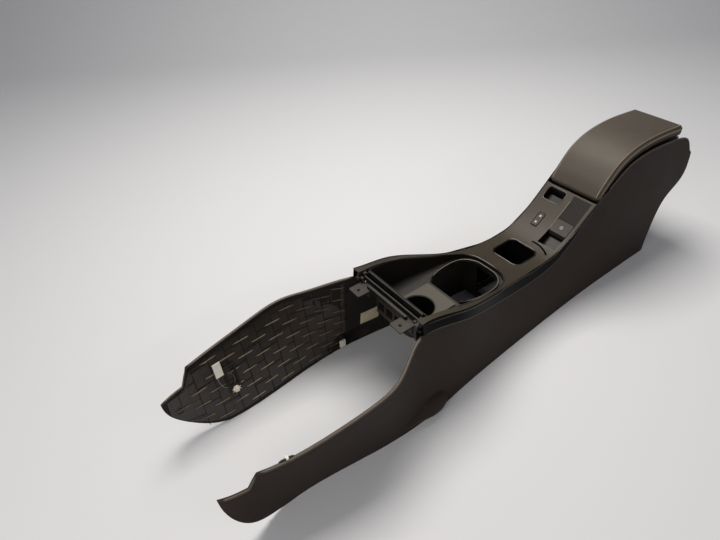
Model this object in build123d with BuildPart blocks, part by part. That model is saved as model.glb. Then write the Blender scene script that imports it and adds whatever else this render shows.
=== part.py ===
from build123d import *
import os

# Car center console, in millimetres.
# +X runs from the wing tips to the armrest, +Y is the vehicle's right, +Z is up, the floor is at zero.
# Stations are distances behind the wing tips; at() turns one into an X coordinate.
length = 1376.0
loft_height = 350.0
far_out = 260.0

# Walls and clearances
panel_wall = 3.0
rim_width = 6.0
rim_height = 3.0
strip_wall = 2.5
bezel_wall = 3.0
deck_wall = 2.5
liner_wall = 2.0
seat_gap = 0.3
moving_gap = 1.0
rib_height = 1.4
rib_width = 1.6
rib_front = 36.0
rib_pitch = 38.0
rib_step = 44.0
rib_columns = 11
rib_rows = 4
rib_end = 432.0

# Half widths of the console's outer face, at the floor and at the loft's upper plane
base_widths = ((-10, 132), (30, 136), (75, 125), (120, 119), (310, 134), (430, 138), (540, 126),
               (755, 106), (952, 93), (1140, 87), (1390, 85))
upper_widths = ((-10, 94), (30, 140), (75, 180), (210, 206), (325, 185), (378, 135), (431, 99), (530, 105),
                (668, 62), (842, 42), (1008, 66), (1140, 76), (1390, 79))

# Side elevation of the wings and of the rear end
tip_height = 134.0
step_foot = (50, 137)
wing_top = ((68, 173), (98, 174), (211, 187), (300, 198), (350, 199), (400, 212), (440, 217.5))
shoulder = wing_top[-1]
rake_foot = 116.0
rake_middle = (30, 50)
heel = 1262.0
nose_height = 222.0

# The console's top line from the cross member to the armrest
crown_line = ((445, 241), (530, 225), (668, 180), (805, 160), (880, 167), (952, 206), (1049, 281))
strip_line = ((445, 217), (530, 201), (668, 156), (805, 136), (880, 147), (952, 195), (1049, 281))
strip_end = 1041.0
rim_line = ((1049, 281), (1097, 313), (1165, 328), (1248, 326), (1300, 319), (1340, 300), (1366, 262))
bezel_front = crown_line[0][0]
bezel_end = 1005.0
mouth = 438.0
deck_front = 700.0
deck_end = 1008.0
rail_inner = 63.4
bulkhead_wall = 3.0
front_bulkhead_top = 158.0
front_bulkhead_half = 52.0
rear_bulkhead_top = 232.0
rear_bulkhead_half = 50.0
bulkhead_beam = 42.0
cut_reach = 2.0
bulkhead_low = 24.0
front_bulkhead = 760.0
rear_bulkhead = deck_end - bulkhead_wall
bar_y = 62.0
bar_height = 16.0

# Front opening, a D in plan
well_front = 472.0
well_half_width = 94.0
well_rear = 740.0
well_taper = 4.0
well_middle_half_width = 81.0
well_rear_half_width = 68.0
well_corner = 42.0
well_floor = 150.0
tray_top = 161.0
tray_rear = 595.0
tray_half_width = 44.0
tray_lap = 6.0
cup_station = 528.0
cup_radius = 37.0
cup_depth = 58.0
shelf_top = tray_top - 3.3
shelf_skin = 2.5
loop_points = ((603, 41), (614, 50), (630, 57.5), (650, 61.5), (672, 62.5), (692, 61), (708, 56), (720, 46),
               (728, 33), (732, 16), (733, 0))
rail_front = 604.0
rail_centre = 672.0
rail_half_width = 62.5
rail_bead = 2.4
rail_rise = 4.6

# Rounded-square opening and its bin
cubby_station = 823.0
cubby_length = 72.0
cubby_width = 78.0
cubby_corner = 15.0
cubby_depth = 62.0

# Crescent-shaped lamp slot in front of the channel
crescent_points = ((879, -6), (877, -33), (866, -56))
crescent_width = 4.4

# Switch field: rocker on the right of the channel, parking-brake switch in the channel
field_front = 880.0
field_rear = 1000.0
rocker_stand = 1.2
brake_stand = 1.5
wrist_drop = 0.6
wrist_bottom = 3.0
wrist_end = 1004.0
wrist_foot_front = 960.0
wrist_foot_rear = 985.0
wrist_foot_half = 6.0
wrist_foot_drop = 2.0
rocker_station = 930.0
rocker_y = 26.0
rocker_length = 30.0
rocker_width = 16.0
rocker_depth = 7.0
rocker_frame = 2.0
rocker_well = 16.0
post_half = 2.0
channel_front = 886.0
channel_rear = 1001.0
channel_inner = -13.0
channel_outer = -61.0
channel_middle = (channel_inner + channel_outer) / 2
channel_depth = 26.0
brake_front = 922.0
brake_rear = 950.0
brake_depth = 9.0
brake_pivot_station = 948.0
brake_pivot_height = 197.0
brake_pin_radius = 2.0
finger_front = 974.0
finger_rear = 1000.0
finger_inner = 7.0
finger_outer = 55.0
finger_depth = 20.0
finger_corner = 6.0

# Armrest, its lid and the bin below
lid_line = ((1024, 246), (1060, 280), (1097, 305), (1165, 319), (1248, 317), (1312, 309))
lid_wall = 5.0
lid_half_width = 66.0
cushion_half_width = 68.5
cushion_top = ((1031, 276), (1063, 312), (1134, 343), (1210, 350), (1325, 337))
cushion_front = (1011, 252)
cushion_chin = (1017, 243)
cushion_tail = (1325, 321)
bin_front = 1040.0
bin_rear = 1296.0
bin_half_width = 62.0
bin_floor = 156.0
bin_wall = 2.5
lid_rest = 3.0
mat_thickness = 2.0

# Rear panel's half widths at its foot and at its brow
rear_foot = 82.0
rear_brow = 76.6
nose_profile = ((1354, 283), (1367, 262), (1375, 240), (1375.5, 221), (1369, 205), (1352, 187), (1331, 171),
                (1313, 152), (1300, 130), (1288, 105), (1277, 78), (1268, 42), (1262, 6))

# Hinge
pin_radius = 3.0
pin_clearance = 0.05
pin_half_length = 54.0
hinge_station = 1314.0
hinge_height = 297.0
knuckle_radius = 6.5
knuckle_width = 18.0
knuckle_y = 36.0
ear_width = 4.0

# Latch paddle
paddle_station = 1032.0
paddle_height = 242.5
paddle_front = 1014.0
paddle_half_width = 14.0
paddle_pin_radius = 2.0

# Front end
cross_front = 442.0
cross_rear = 470.0
cross_level = 218.0
cross_skin = 2.5
cross_half = 104.0
cross_bars = ((464, 467, 84, 238), (453, 456, 84, 232), (442, 448, 60, 227))
cross_foot = 1.0
cross_end = 90.0
cross_drop = 30.0
cross_rise = 12.0
screw_stations = (450.3, 460)
screw_y = 76.0
screw_radius = 2.0
screw_height = 3.0
bracket_length = 30.0
bracket_width = 34.0
bracket_y = 66.0
bracket_skin = 2.5
bolt_radius = 3.2
module_length = 22.0
module_width = 80.0
module_height = 44.0
module_y = -8.0
socket_pitch = 26.0
socket_half = 10.0
socket_back = 6.0
socket_low = 34.0
socket_high = 12.0

# Wing hardware
wing_bracket_front = 134.0
wing_bracket_rear = 160.0
wing_bracket_low = 60.0
wing_bracket_high = 124.0
wing_bracket_wall = 3.0
wing_bracket_frame = 4.0
wing_bracket_foot = 17.0
clip_station = 147.0
clip_height = 68.0
clip_radius = 4.5
clip_head_radius = 7.0
clip_skin = 2.0
clip_length = 7.0
clip_slope = 0.2
clip_half_width = 134.0
clip_reach = 8.6

# Plates on the inner walls: front, rear, low and high edge of each, and its thickness
tag_place = (116, 133, 110, 142)
tag_skin = 2.0
edge_clip_place = (408, 422, 7, 27)
edge_clip_skin = 3.5
foil_place = (464, 512, 54, 90)
foil_skin = 0.6
stop_radius = 2.8
stop_station = 1150.0


def at(station):
    """X coordinate of a station, with the origin halfway along the console."""
    return station - length / 2


def spread(points, rise=0.0):
    """Stations and heights as points of a side elevation, all raised by the same amount."""
    return [(at(station), height + rise) for station, height in points]


def envelope(inset):
    """Volume between the console's two outer faces, drawn in sideways by an inset."""
    with BuildPart() as volume:
        for height, widths in ((0, base_widths), (loft_height, upper_widths)):
            with BuildSketch(Plane.XY.offset(height)):
                with BuildLine():
                    right = Spline(*[(at(station), width - inset) for station, width in widths])
                    left = Spline(*[(at(station), inset - width) for station, width in widths])
                    Line(right @ 0, left @ 0)
                    Line(right @ 1, left @ 1)
                make_face()
        loft(ruled=True)
    return volume.part


def elevation(outline_function, half_width=far_out):
    """A side outline carried right across the console."""
    with BuildPart() as slab:
        with BuildSketch(Plane.XZ.offset(-half_width)):
            with BuildLine():
                outline_function()
            make_face()
        extrude(amount=2 * half_width)
    return slab.part


def band(line, top, bottom, front, rear):
    """The layer under a top line, between two drops, from one station to another."""
    def outline():
        upper = Spline(*spread(line, -top))
        lower = Spline(*spread(line, -bottom))
        Line(upper @ 0, lower @ 0)
        Line(upper @ 1, lower @ 1)
    layer = elevation(outline)
    with BuildPart() as piece:
        add(layer)
        with Locations((at((front + rear) / 2), 0, loft_height / 2)):
            Box(rear - front, 2 * far_out, 2 * loft_height, mode=Mode.INTERSECT)
    return piece.part


def block(front, rear, low_y, high_y, bottom, top):
    """A box between stations, sideways places and heights."""
    with BuildPart() as piece:
        with Locations((at((front + rear) / 2), (low_y + high_y) / 2, (bottom + top) / 2)):
            Box(rear - front, high_y - low_y, top - bottom)
    return piece.part


def well(grow, bottom, top, front=well_front):
    """The front opening's D in plan, grown by a wall and carried from one height to another."""
    with BuildPart() as piece:
        with BuildSketch(Plane.XY.offset(bottom)):
            with BuildLine():
                for side in (1, -1):
                    Spline((at(front) - grow, side * (well_half_width - well_taper + grow)),
                           (at(560), side * (well_half_width + grow)),
                           (at(660), side * (well_middle_half_width + grow)),
                           (at(712) + 0.6 * grow, side * (well_rear_half_width + 0.8 * grow)),
                           (at(735) + 0.9 * grow, side * (well_corner + 0.4 * grow)), (at(well_rear) + grow, 0),
                           tangents=((1, side * 0.08), (0, -side)))
                Line((at(front) - grow, well_half_width - well_taper + grow),
                     (at(front) - grow, well_taper - grow - well_half_width))
            make_face()
        extrude(amount=top - bottom)
    return piece.part


def rounded(front, rear, low_y, high_y, corner, bottom, top):
    """A rectangle in plan, with rounded or plain corners, carried from one height to another."""
    with BuildPart() as piece:
        with BuildSketch(Plane.XY.offset(bottom)):
            with Locations((at((front + rear) / 2), (low_y + high_y) / 2)):
                if corner:
                    RectangleRounded(rear - front, high_y - low_y, corner)
                else:
                    Rectangle(rear - front, high_y - low_y)
        extrude(amount=top - bottom)
    return piece.part


def finish(part, label):
    """Name a piece and write it."""
    part.label = label
    export_step(part, f"parts/{label}.step")


os.makedirs("parts", exist_ok=True)


def panel_outline():
    """Side elevation of a side panel: wing, top line under the gloss strip, rim, nose and heel."""
    Line((at(0), tip_height), (at(step_foot[0]), step_foot[1]))
    Line((at(step_foot[0]), step_foot[1]), (at(wing_top[0][0]), wing_top[0][1]))
    Spline(*spread(wing_top), tangents=((1, 0), (1, 0)))
    under_strip = Spline(*spread(strip_line, -seat_gap))
    Line((at(shoulder[0]), shoulder[1]), under_strip @ 0)
    Spline(under_strip @ 1, *spread((*rim_line[1:], (length, nose_height))), tangents=((1, 0.78), (0, -1)))
    Spline((at(length), nose_height), (at(1311), 151), (at(1272), 60), (at(heel), 0), tangents=((0, -1), (-0.05, -1)))
    Line((at(heel), 0), (at(rake_foot), 0))
    ThreePointArc((at(rake_foot), 0), (at(rake_middle[0]), rake_middle[1]), (at(0), tip_height))


outer_volume = envelope(0)
panel_volume = envelope(panel_wall)
rim_volume = envelope(rim_width)
inner_volume = envelope(panel_wall + seat_gap)
strip_volume = envelope(strip_wall)
bezel_volume = envelope(strip_wall + seat_gap)
panel_slab = elevation(panel_outline)

# Half-tube bulge low on the outside, behind the wing: it swells rearward and ends rounded
bulge_profile = ((296, 8), (350, 16), (420, 24), (468, 26), (492, 14))
bulge_height = 24.0
bulge_reach = 123.0


def bulge(inset):
    """The left half-tube bulge, turned about its own axis, with its radius drawn in by the wall."""
    with BuildPart() as tube:
        with BuildSketch(Plane.XY.offset(bulge_height)):
            with BuildLine():
                swell = Spline(*[(at(station), inset - bulge_reach - radius) for station, radius in bulge_profile])
                Polyline(swell @ 0, (at(bulge_profile[0][0]), -bulge_reach), (at(bulge_profile[-1][0]), -bulge_reach),
                         swell @ 1)
            make_face()
        revolve(axis=Axis((0, -bulge_reach, bulge_height), (1, 0, 0)))
    return tube.part


def finish_pair(part, label):
    """Write a left-hand piece and its mirror image on the right."""
    finish(part, f"{label}_left")
    finish(mirror(part, about=Plane.XZ), f"{label}_right")


# Brickwork ribs inside the wings: upright ribs with short staggered ones between them
rib_volume = envelope(panel_wall + rib_height)
rib_root = envelope(panel_wall - 1)
with BuildPart() as ribs:
    with BuildSketch(Plane.XZ.offset(60)):
        for column in range(rib_columns):
            station = rib_front + column * rib_pitch
            with Locations((at(station), loft_height / 2)):
                Rectangle(rib_width, loft_height)
            for row in range(rib_rows):
                with Locations((at(station + rib_pitch / 2), rib_step * (row + 1 + (column % 2) / 2))):
                    Rectangle(rib_pitch, rib_width)
    extrude(amount=far_out)
    add(rib_root, mode=Mode.INTERSECT)
    add(rib_volume, mode=Mode.SUBTRACT)
    add(Pos(rim_width, 0, -rim_width) * panel_slab, mode=Mode.INTERSECT)
    add(block(0, rib_end, -far_out, 0, rib_width, loft_height), mode=Mode.INTERSECT)

# The left panel, with a rolled rim along the top of the wing
with BuildPart() as rim:
    add(outer_volume)
    add(panel_slab, mode=Mode.INTERSECT)
    add(rim_volume, mode=Mode.SUBTRACT)
    add(Pos(0, 0, -rim_height) * panel_slab, mode=Mode.SUBTRACT)
    add(block(0, shoulder[0], -far_out, 0, tip_height - rim_height, loft_height), mode=Mode.INTERSECT)
with BuildPart() as swelling:
    add(bulge(0))
    add(bulge(panel_wall), mode=Mode.SUBTRACT)
    add(block(-10, length, -far_out, 0, 0, loft_height), mode=Mode.INTERSECT)
    add(panel_volume, mode=Mode.SUBTRACT)
with BuildPart() as side_panel:
    add(outer_volume)
    add(panel_slab, mode=Mode.INTERSECT)
    add(panel_volume, mode=Mode.SUBTRACT)
    add(block(-10, length + 10, -far_out, 0, -10, loft_height + 10), mode=Mode.INTERSECT)
    add(bulge(panel_wall), mode=Mode.SUBTRACT)
    add(swelling.part)
    add(rim.part)
    add(ribs.part)
finish_pair(side_panel.part, "side_panel")


def strip_outline():
    """Side elevation of a gloss strip, tapering to the armrest."""
    upper = Spline(*spread(crown_line))
    lower = Spline(*spread(strip_line))
    Line(upper @ 0, lower @ 0)


strip_slab = elevation(strip_outline)
with BuildPart() as trim_strip:
    add(outer_volume)
    add(strip_slab, mode=Mode.INTERSECT)
    add(strip_volume, mode=Mode.SUBTRACT)
    add(block(0, strip_end, -far_out, 0, 0, loft_height), mode=Mode.INTERSECT)
finish_pair(trim_strip.part, "trim_strip")

# Openings that pass through the bezel, and wider through the deck under it
cubby_front = cubby_station - cubby_length / 2
cubby_rear = cubby_station + cubby_length / 2
rocker_front = rocker_station - rocker_length / 2
rocker_rear = rocker_station + rocker_length / 2
rocker_left = rocker_y - rocker_width / 2
rocker_right = rocker_y + rocker_width / 2


def openings():
    """Every opening of the bezel; the front one runs out over the cross member."""
    return (
        well(0, 0, loft_height, mouth),
        rounded(cubby_front, cubby_rear, -cubby_width / 2, cubby_width / 2, cubby_corner, 0, loft_height),
        rounded(channel_front, channel_rear, channel_outer, channel_inner, 0, 0, loft_height),
        rounded(finger_front, finger_rear, finger_inner, finger_outer, finger_corner, 0, loft_height),
        rounded(rocker_front - rocker_frame, rocker_rear + rocker_frame, rocker_left - rocker_frame,
                rocker_right + rocker_frame, 0, 0, loft_height),
    )


bezel_layer = band(crown_line, 0, bezel_wall, bezel_front, bezel_end)
deck_top = bezel_wall + seat_gap
deck_layer = band(crown_line, deck_top, deck_top + deck_wall, cross_rear + seat_gap, deck_end)
under_bezel = band(crown_line, deck_top, loft_height, bezel_front, bezel_end)

with BuildPart() as top_bezel:
    add(bezel_layer)
    add(bezel_volume, mode=Mode.INTERSECT)
    for opening in openings():
        add(opening, mode=Mode.SUBTRACT)
    with BuildSketch(Plane.XY):
        with BuildLine(mode=Mode.PRIVATE):
            crescent = ThreePointArc(*[(at(station), place) for station, place in crescent_points])
        SlotArc(crescent, crescent_width)
    extrude(amount=loft_height, mode=Mode.SUBTRACT)
finish(top_bezel.part, "top_bezel")

# Deck rails: the strips under both sides of the bezel, outside all of its openings
with BuildPart() as deck_rail:
    add(deck_layer)
    add(inner_volume, mode=Mode.INTERSECT)
    add(well(liner_wall + seat_gap, 0, loft_height), mode=Mode.SUBTRACT)
    add(block(deck_front, deck_end + 1, -rail_inner, far_out, 0, loft_height), mode=Mode.SUBTRACT)
    add(block(0, length, 0, far_out, 0, loft_height), mode=Mode.SUBTRACT)
finish_pair(deck_rail.part, "deck_rail")

# Carrier frame: two bulkheads with large cut-outs, joined by two low bars
under_deck = deck_top + deck_wall + seat_gap
with BuildPart() as carrier_frame:
    for station, height, half in ((front_bulkhead, front_bulkhead_top, front_bulkhead_half),
                                  (rear_bulkhead, rear_bulkhead_top, rear_bulkhead_half)):
        add(block(station, station + bulkhead_wall, -far_out, far_out, bulkhead_low, loft_height))
        add(block(station - cut_reach, station + bulkhead_wall + cut_reach, -half, half,
                  bulkhead_low + bar_height, height - bulkhead_beam), mode=Mode.SUBTRACT)
    for side in (-1, 1):
        add(block(front_bulkhead, rear_bulkhead + bulkhead_wall, side * bar_y - bulkhead_wall / 2,
                  side * bar_y + bulkhead_wall / 2, bulkhead_low, bulkhead_low + bar_height))
    add(band(crown_line, under_deck, loft_height, deck_front, deck_end), mode=Mode.INTERSECT)
    add(inner_volume, mode=Mode.INTERSECT)
finish(carrier_frame.part, "carrier_frame")

with BuildPart() as well_liner:
    add(well(liner_wall, well_floor, loft_height))
    add(well(0, 0, loft_height), mode=Mode.SUBTRACT)
    add(under_bezel, mode=Mode.INTERSECT)
    add(inner_volume, mode=Mode.INTERSECT)
    add(block(0, cross_rear + seat_gap, -far_out, far_out, 0, loft_height), mode=Mode.SUBTRACT)
finish(well_liner.part, "well_liner")

with BuildPart() as cup_tray:
    add(rounded(well_front + 2, tray_rear, -tray_half_width, tray_half_width, 3, tray_top - 3, tray_top))
    with Locations((at(cup_station), 0, tray_top)):
        Hole(cup_radius + seat_gap)
finish(cup_tray.part, "cup_tray")

with BuildPart() as cup_well:
    with BuildSketch(Plane.XY.offset(tray_top - cup_depth)):
        with Locations((at(cup_station), 0)):
            Circle(cup_radius)
    extrude(amount=cup_depth - 1)
    with BuildSketch(Plane.XY.offset(tray_top - cup_depth + liner_wall)):
        with Locations((at(cup_station), 0)):
            Circle(cup_radius - liner_wall)
    extrude(amount=cup_depth, mode=Mode.SUBTRACT)
finish(cup_well.part, "cup_well")



def lever_loop(grow, bottom, top):
    """The lever opening in plan, widening rearward to a blunt end, grown evenly about its middle."""
    with BuildPart() as piece:
        with BuildSketch(Plane.XY.offset(bottom)):
            with BuildLine():
                half = [(at(rail_centre) + (station - rail_centre) * (1 + grow / rail_half_width),
                         width * (1 + grow / rail_half_width)) for station, width in loop_points]
                Polyline(*half, *[(x, -y) for x, y in reversed(half[:-1])], close=True)
            make_face()
        extrude(amount=top - bottom)
    return piece.part


# Black shelf between the well's walls; the grey tray stands on it and the lever opening runs through it
with BuildPart() as lever_ledge:
    add(well(-seat_gap, shelf_top - shelf_skin, shelf_top))
    add(rounded(well_front + 8, tray_rear - tray_lap, tray_lap - tray_half_width, tray_half_width - tray_lap,
                0, 0, loft_height), mode=Mode.SUBTRACT)
    add(lever_loop(0, 0, loft_height), mode=Mode.SUBTRACT)
finish(lever_ledge.part, "lever_ledge")

with BuildPart() as lever_rail:
    add(lever_loop(rail_bead + seat_gap, shelf_top + seat_gap, shelf_top + rail_rise))
    add(lever_loop(seat_gap, 0, loft_height), mode=Mode.SUBTRACT)
    add(block(0, rail_front, -far_out, far_out, 0, loft_height), mode=Mode.SUBTRACT)
    add(well(-2 * seat_gap, 0, loft_height), mode=Mode.INTERSECT)
finish(lever_rail.part, "lever_rail")

with BuildPart() as cubby_bin:
    add(rounded(cubby_front - liner_wall, cubby_rear + liner_wall, -cubby_width / 2 - liner_wall,
                cubby_width / 2 + liner_wall, cubby_corner + liner_wall, tray_top - cubby_depth, loft_height))
    add(rounded(cubby_front, cubby_rear, -cubby_width / 2, cubby_width / 2, cubby_corner,
                tray_top - cubby_depth + liner_wall, loft_height), mode=Mode.SUBTRACT)
    add(under_bezel, mode=Mode.INTERSECT)
    add(rounded(cubby_front + 8, cubby_rear - 26, -cubby_width / 2 + 10, 0, 4, 0, tray_top), mode=Mode.SUBTRACT)
finish(cubby_bin.part, "cubby_bin")


def crown_at(station):
    """Height of the console's top line at a station, on the straight between its points."""
    for (low, low_height), (high, high_height) in zip(crown_line, crown_line[1:]):
        if low <= station <= high:
            return low_height + (high_height - low_height) * (station - low) / (high - low)
    return crown_line[-1][1]


def above(front, rear, drop):
    """The space above a straight floor that lies a drop below the top line."""
    def outline():
        Polyline((at(front), crown_at(front) - drop), (at(rear), crown_at(rear) - drop), (at(rear), loft_height),
                 (at(front), loft_height), close=True)
    return elevation(outline)


def tub(front, rear, low_y, high_y, corner, depth):
    """A thin-walled tub under the bezel, open above, with a straight floor that slopes like the top line."""
    reach = deck_top + depth
    outer_tub = rounded(front - liner_wall, rear + liner_wall, low_y - liner_wall, high_y + liner_wall,
                        corner, 0, loft_height)
    with BuildPart() as hollow:
        add(rounded(front, rear, low_y, high_y, corner, 0, loft_height))
        add(above(front - 5, rear + 5, reach - liner_wall), mode=Mode.INTERSECT)
    with BuildPart() as piece:
        add(outer_tub)
        add(above(front - 5, rear + 5, reach), mode=Mode.INTERSECT)
        add(under_bezel, mode=Mode.INTERSECT)
        add(hollow.part, mode=Mode.SUBTRACT)
    return piece.part


finish(tub(channel_front, channel_rear, channel_outer, channel_inner, 0, channel_depth), "brake_housing")
finish(tub(finger_front, finger_rear, finger_inner, finger_outer, finger_corner, finger_depth), "finger_pocket")
finish(tub(rocker_front - rocker_frame, rocker_rear + rocker_frame, rocker_left - rocker_frame,
           rocker_right + rocker_frame, 0, rocker_well), "rocker_housing")

with BuildPart() as rocker_switch:
    add(band(crown_line, -rocker_stand, rocker_depth, field_front, field_rear))
    add(rounded(rocker_front, rocker_rear, rocker_left, rocker_right, 2, 0, loft_height), mode=Mode.INTERSECT)
finish(rocker_switch.part, "rocker_switch")

with BuildPart() as rocker_pivot_post:
    add(band(crown_line, rocker_depth + seat_gap, loft_height, field_front, field_rear))
    add(above(rocker_front - rocker_frame - 5, rocker_rear + rocker_frame + 5, bezel_wall + rocker_well - liner_wall),
        mode=Mode.INTERSECT)
    add(block(rocker_station - post_half, rocker_station + post_half, rocker_y - post_half, rocker_y + post_half,
              0, loft_height), mode=Mode.INTERSECT)
finish(rocker_pivot_post.part, "rocker_pivot_post")

with BuildPart() as brake_switch:
    add(band(crown_line, -brake_stand, brake_depth, field_front, field_rear))
    add(rounded(brake_front, brake_rear, channel_outer + moving_gap, channel_inner - moving_gap, 2.5, 0, loft_height),
        mode=Mode.INTERSECT)
    with Locations(Plane.XZ.offset(-channel_middle) * Pos(at(brake_pivot_station), brake_pivot_height)):
        Cylinder(brake_pin_radius, channel_inner - channel_outer - 2 * seat_gap)
finish(brake_switch.part, "brake_switch")

with BuildPart() as wrist_plate:
    add(band(crown_line, wrist_drop, wrist_bottom, field_front, wrist_end))
    add(rounded(brake_rear + 2 * moving_gap, channel_rear - seat_gap, channel_outer + seat_gap,
                channel_inner - seat_gap, 2.5, 0, loft_height), mode=Mode.INTERSECT)
    add(block(wrist_foot_front, wrist_foot_rear, channel_middle - wrist_foot_half,
              channel_middle + wrist_foot_half, 0, loft_height)
        & band(crown_line, wrist_foot_drop, loft_height, field_front, wrist_end)
        & above(channel_front - 5, channel_rear + 5, bezel_wall + channel_depth - liner_wall))
finish(wrist_plate.part, "wrist_plate")


# Armrest: storage bin, lid shell, cushion
def lid_band(top, bottom, half_width):
    """A layer that follows the lid's underside, between two rises."""
    def outline():
        upper = Spline(*spread(lid_line, top))
        lower = Spline(*spread(lid_line, bottom))
        Line(upper @ 0, lower @ 0)
        Line(upper @ 1, lower @ 1)
    return elevation(outline, half_width)


def bin_outline():
    """Side elevation of the storage bin."""
    rim = Spline(*spread(lid_line, -lid_rest))
    Line(rim @ 0, (at(1024), bin_floor))
    Line(rim @ 1, (at(1312), bin_floor))
    Line((at(1024), bin_floor), (at(1312), bin_floor))


bin_slab = elevation(bin_outline)
with BuildPart() as storage_bin:
    add(rounded(bin_front, bin_rear, -bin_half_width, bin_half_width, 10, bin_floor, loft_height))
    add(lid_band(-lid_rest, -lid_rest - bin_wall, far_out)
        & block(bin_front - 2, bin_rear, -far_out, far_out, 0, loft_height) & inner_volume)
    add(bin_slab, mode=Mode.INTERSECT)
    add(rounded(bin_front + bin_wall, bin_rear - bin_wall, -bin_half_width + bin_wall, bin_half_width - bin_wall,
                10 - bin_wall, bin_floor + bin_wall, loft_height), mode=Mode.SUBTRACT)
finish(storage_bin.part, "storage_bin")

finish(rounded(bin_front + 4, bin_rear - 4, -bin_half_width + 4, bin_half_width - 4, 7,
               bin_floor + bin_wall, bin_floor + bin_wall + mat_thickness), "bin_mat")

# Lid shell with two hinge knuckles behind it
with BuildPart() as lid_shell:
    add(lid_band(lid_wall, 0, lid_half_width))
    for side in (-1, 1):
        with BuildSketch(Plane.XZ.offset(-side * knuckle_y - knuckle_width / 2)):
            with Locations((at(hinge_station), hinge_height)):
                Circle(knuckle_radius)
            with BuildLine():
                Polyline((at(hinge_station) - knuckle_radius, hinge_height),
                         (at(hinge_station) - 8, hinge_height + 15), (at(hinge_station) - 2.5, hinge_height + 15),
                         (at(hinge_station) + knuckle_radius, hinge_height), close=True)
            make_face()
        extrude(amount=knuckle_width)
    for side in (-1, 1):
        place = side * (paddle_half_width + seat_gap + ear_width / 2)
        add(block(paddle_station - 3, paddle_station + 3, place - ear_width / 2, place + ear_width / 2,
                  paddle_height - 4, paddle_height + 13))
    with Locations(Plane.XZ * Pos(at(hinge_station), hinge_height)):
        Cylinder(pin_radius + pin_clearance, 4 * pin_half_length, mode=Mode.SUBTRACT)
    with Locations(Plane.XZ * Pos(at(paddle_station), paddle_height)):
        Cylinder(paddle_pin_radius + pin_clearance, 2 * lid_half_width, mode=Mode.SUBTRACT)
finish(lid_shell.part, "lid_shell")

# Latch paddle under the lid's front edge, with its own pin and a hook that reaches down to the striker
with BuildPart() as latch_paddle:
    add(block(paddle_front, paddle_station, -paddle_half_width, paddle_half_width,
              paddle_height - 5, paddle_height - 2.5))
    add(block(paddle_station - 2, paddle_station + 2, -paddle_half_width, paddle_half_width,
              paddle_height - 5, paddle_height))
    add(block(paddle_station - 1, paddle_station + 2, -5, 5, paddle_height - 17, paddle_height))
    with Locations(Plane.XZ * Pos(at(paddle_station), paddle_height)):
        Cylinder(paddle_pin_radius, 2 * (paddle_half_width + seat_gap + ear_width))
finish(latch_paddle.part, "latch_paddle")
finish(block(paddle_station + 3.2, bin_front - seat_gap, -8, 8, paddle_height - 17, paddle_height - 12),
       "latch_striker")


def cushion_outline():
    """Side elevation of the armrest cushion."""
    under = Spline(*spread(lid_line, lid_wall + seat_gap))
    over = Spline(*spread((cushion_front, *cushion_top)))
    Polyline(over @ 0, (at(cushion_chin[0]), cushion_chin[1]), under @ 0)
    Polyline(over @ 1, (at(cushion_tail[0]), cushion_tail[1]), under @ 1)


finish(elevation(cushion_outline, cushion_half_width), "armrest_cushion")

with BuildPart() as hinge_pin:
    with Locations(Plane.XZ * Pos(at(hinge_station), hinge_height)):
        Cylinder(pin_radius, 2 * pin_half_length)
finish(hinge_pin.part, "hinge_pin")

# Hinge bracket: a plate on the back of the bin with an ear on each side of both knuckles
with BuildPart() as hinge_bracket:
    add(block(bin_rear + seat_gap, bin_rear + seat_gap + 3, -56, 56, 258, hinge_height - 3))
    for side in (-1, 1):
        for edge in (-1, 1):
            place = side * knuckle_y + edge * (knuckle_width / 2 + seat_gap + ear_width / 2)
            with BuildSketch(Plane.XZ.offset(-place - ear_width / 2)):
                with BuildLine():
                    Polyline((at(bin_rear) + seat_gap, 262), (at(bin_rear) + seat_gap, hinge_height - 3),
                             (at(hinge_station) - 4, hinge_height + 5), (at(hinge_station) + 3, hinge_height + 5),
                             (at(hinge_station) + 6, hinge_height - 2), (at(hinge_station) + 3, hinge_height - 6),
                             close=True)
                make_face()
            extrude(amount=ear_width)
    with Locations(Plane.XZ * Pos(at(hinge_station), hinge_height)):
        Cylinder(pin_radius + pin_clearance, 4 * pin_half_length, mode=Mode.SUBTRACT)
finish(hinge_bracket.part, "hinge_bracket")


# Rear panel: the skin between the side panels that follows the nose and the heel
rear_panel_front = 1200
nose_inside = ((rear_panel_front, 6), (1330, 290))


def nose_skin(inset):
    """Outline of the rear end, drawn forward by an inset."""
    back = [(at(station) - inset, height) for station, height in nose_profile]
    Polyline(*back, *[(at(station), height) for station, height in nose_inside], close=True)


with BuildPart() as rear_panel:
    with BuildSketch(Plane.YZ.offset(at(rear_panel_front))):
        with BuildLine():
            Polyline((-rear_foot, 8), (rear_foot, 8), (rear_brow, 280), (-rear_brow, 280), close=True)
        make_face()
    extrude(amount=length - rear_panel_front)
    add(elevation(lambda: nose_skin(1)), mode=Mode.INTERSECT)
    add(elevation(lambda: nose_skin(1 + panel_wall)), mode=Mode.SUBTRACT)
finish(rear_panel.part, "rear_panel")

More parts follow.
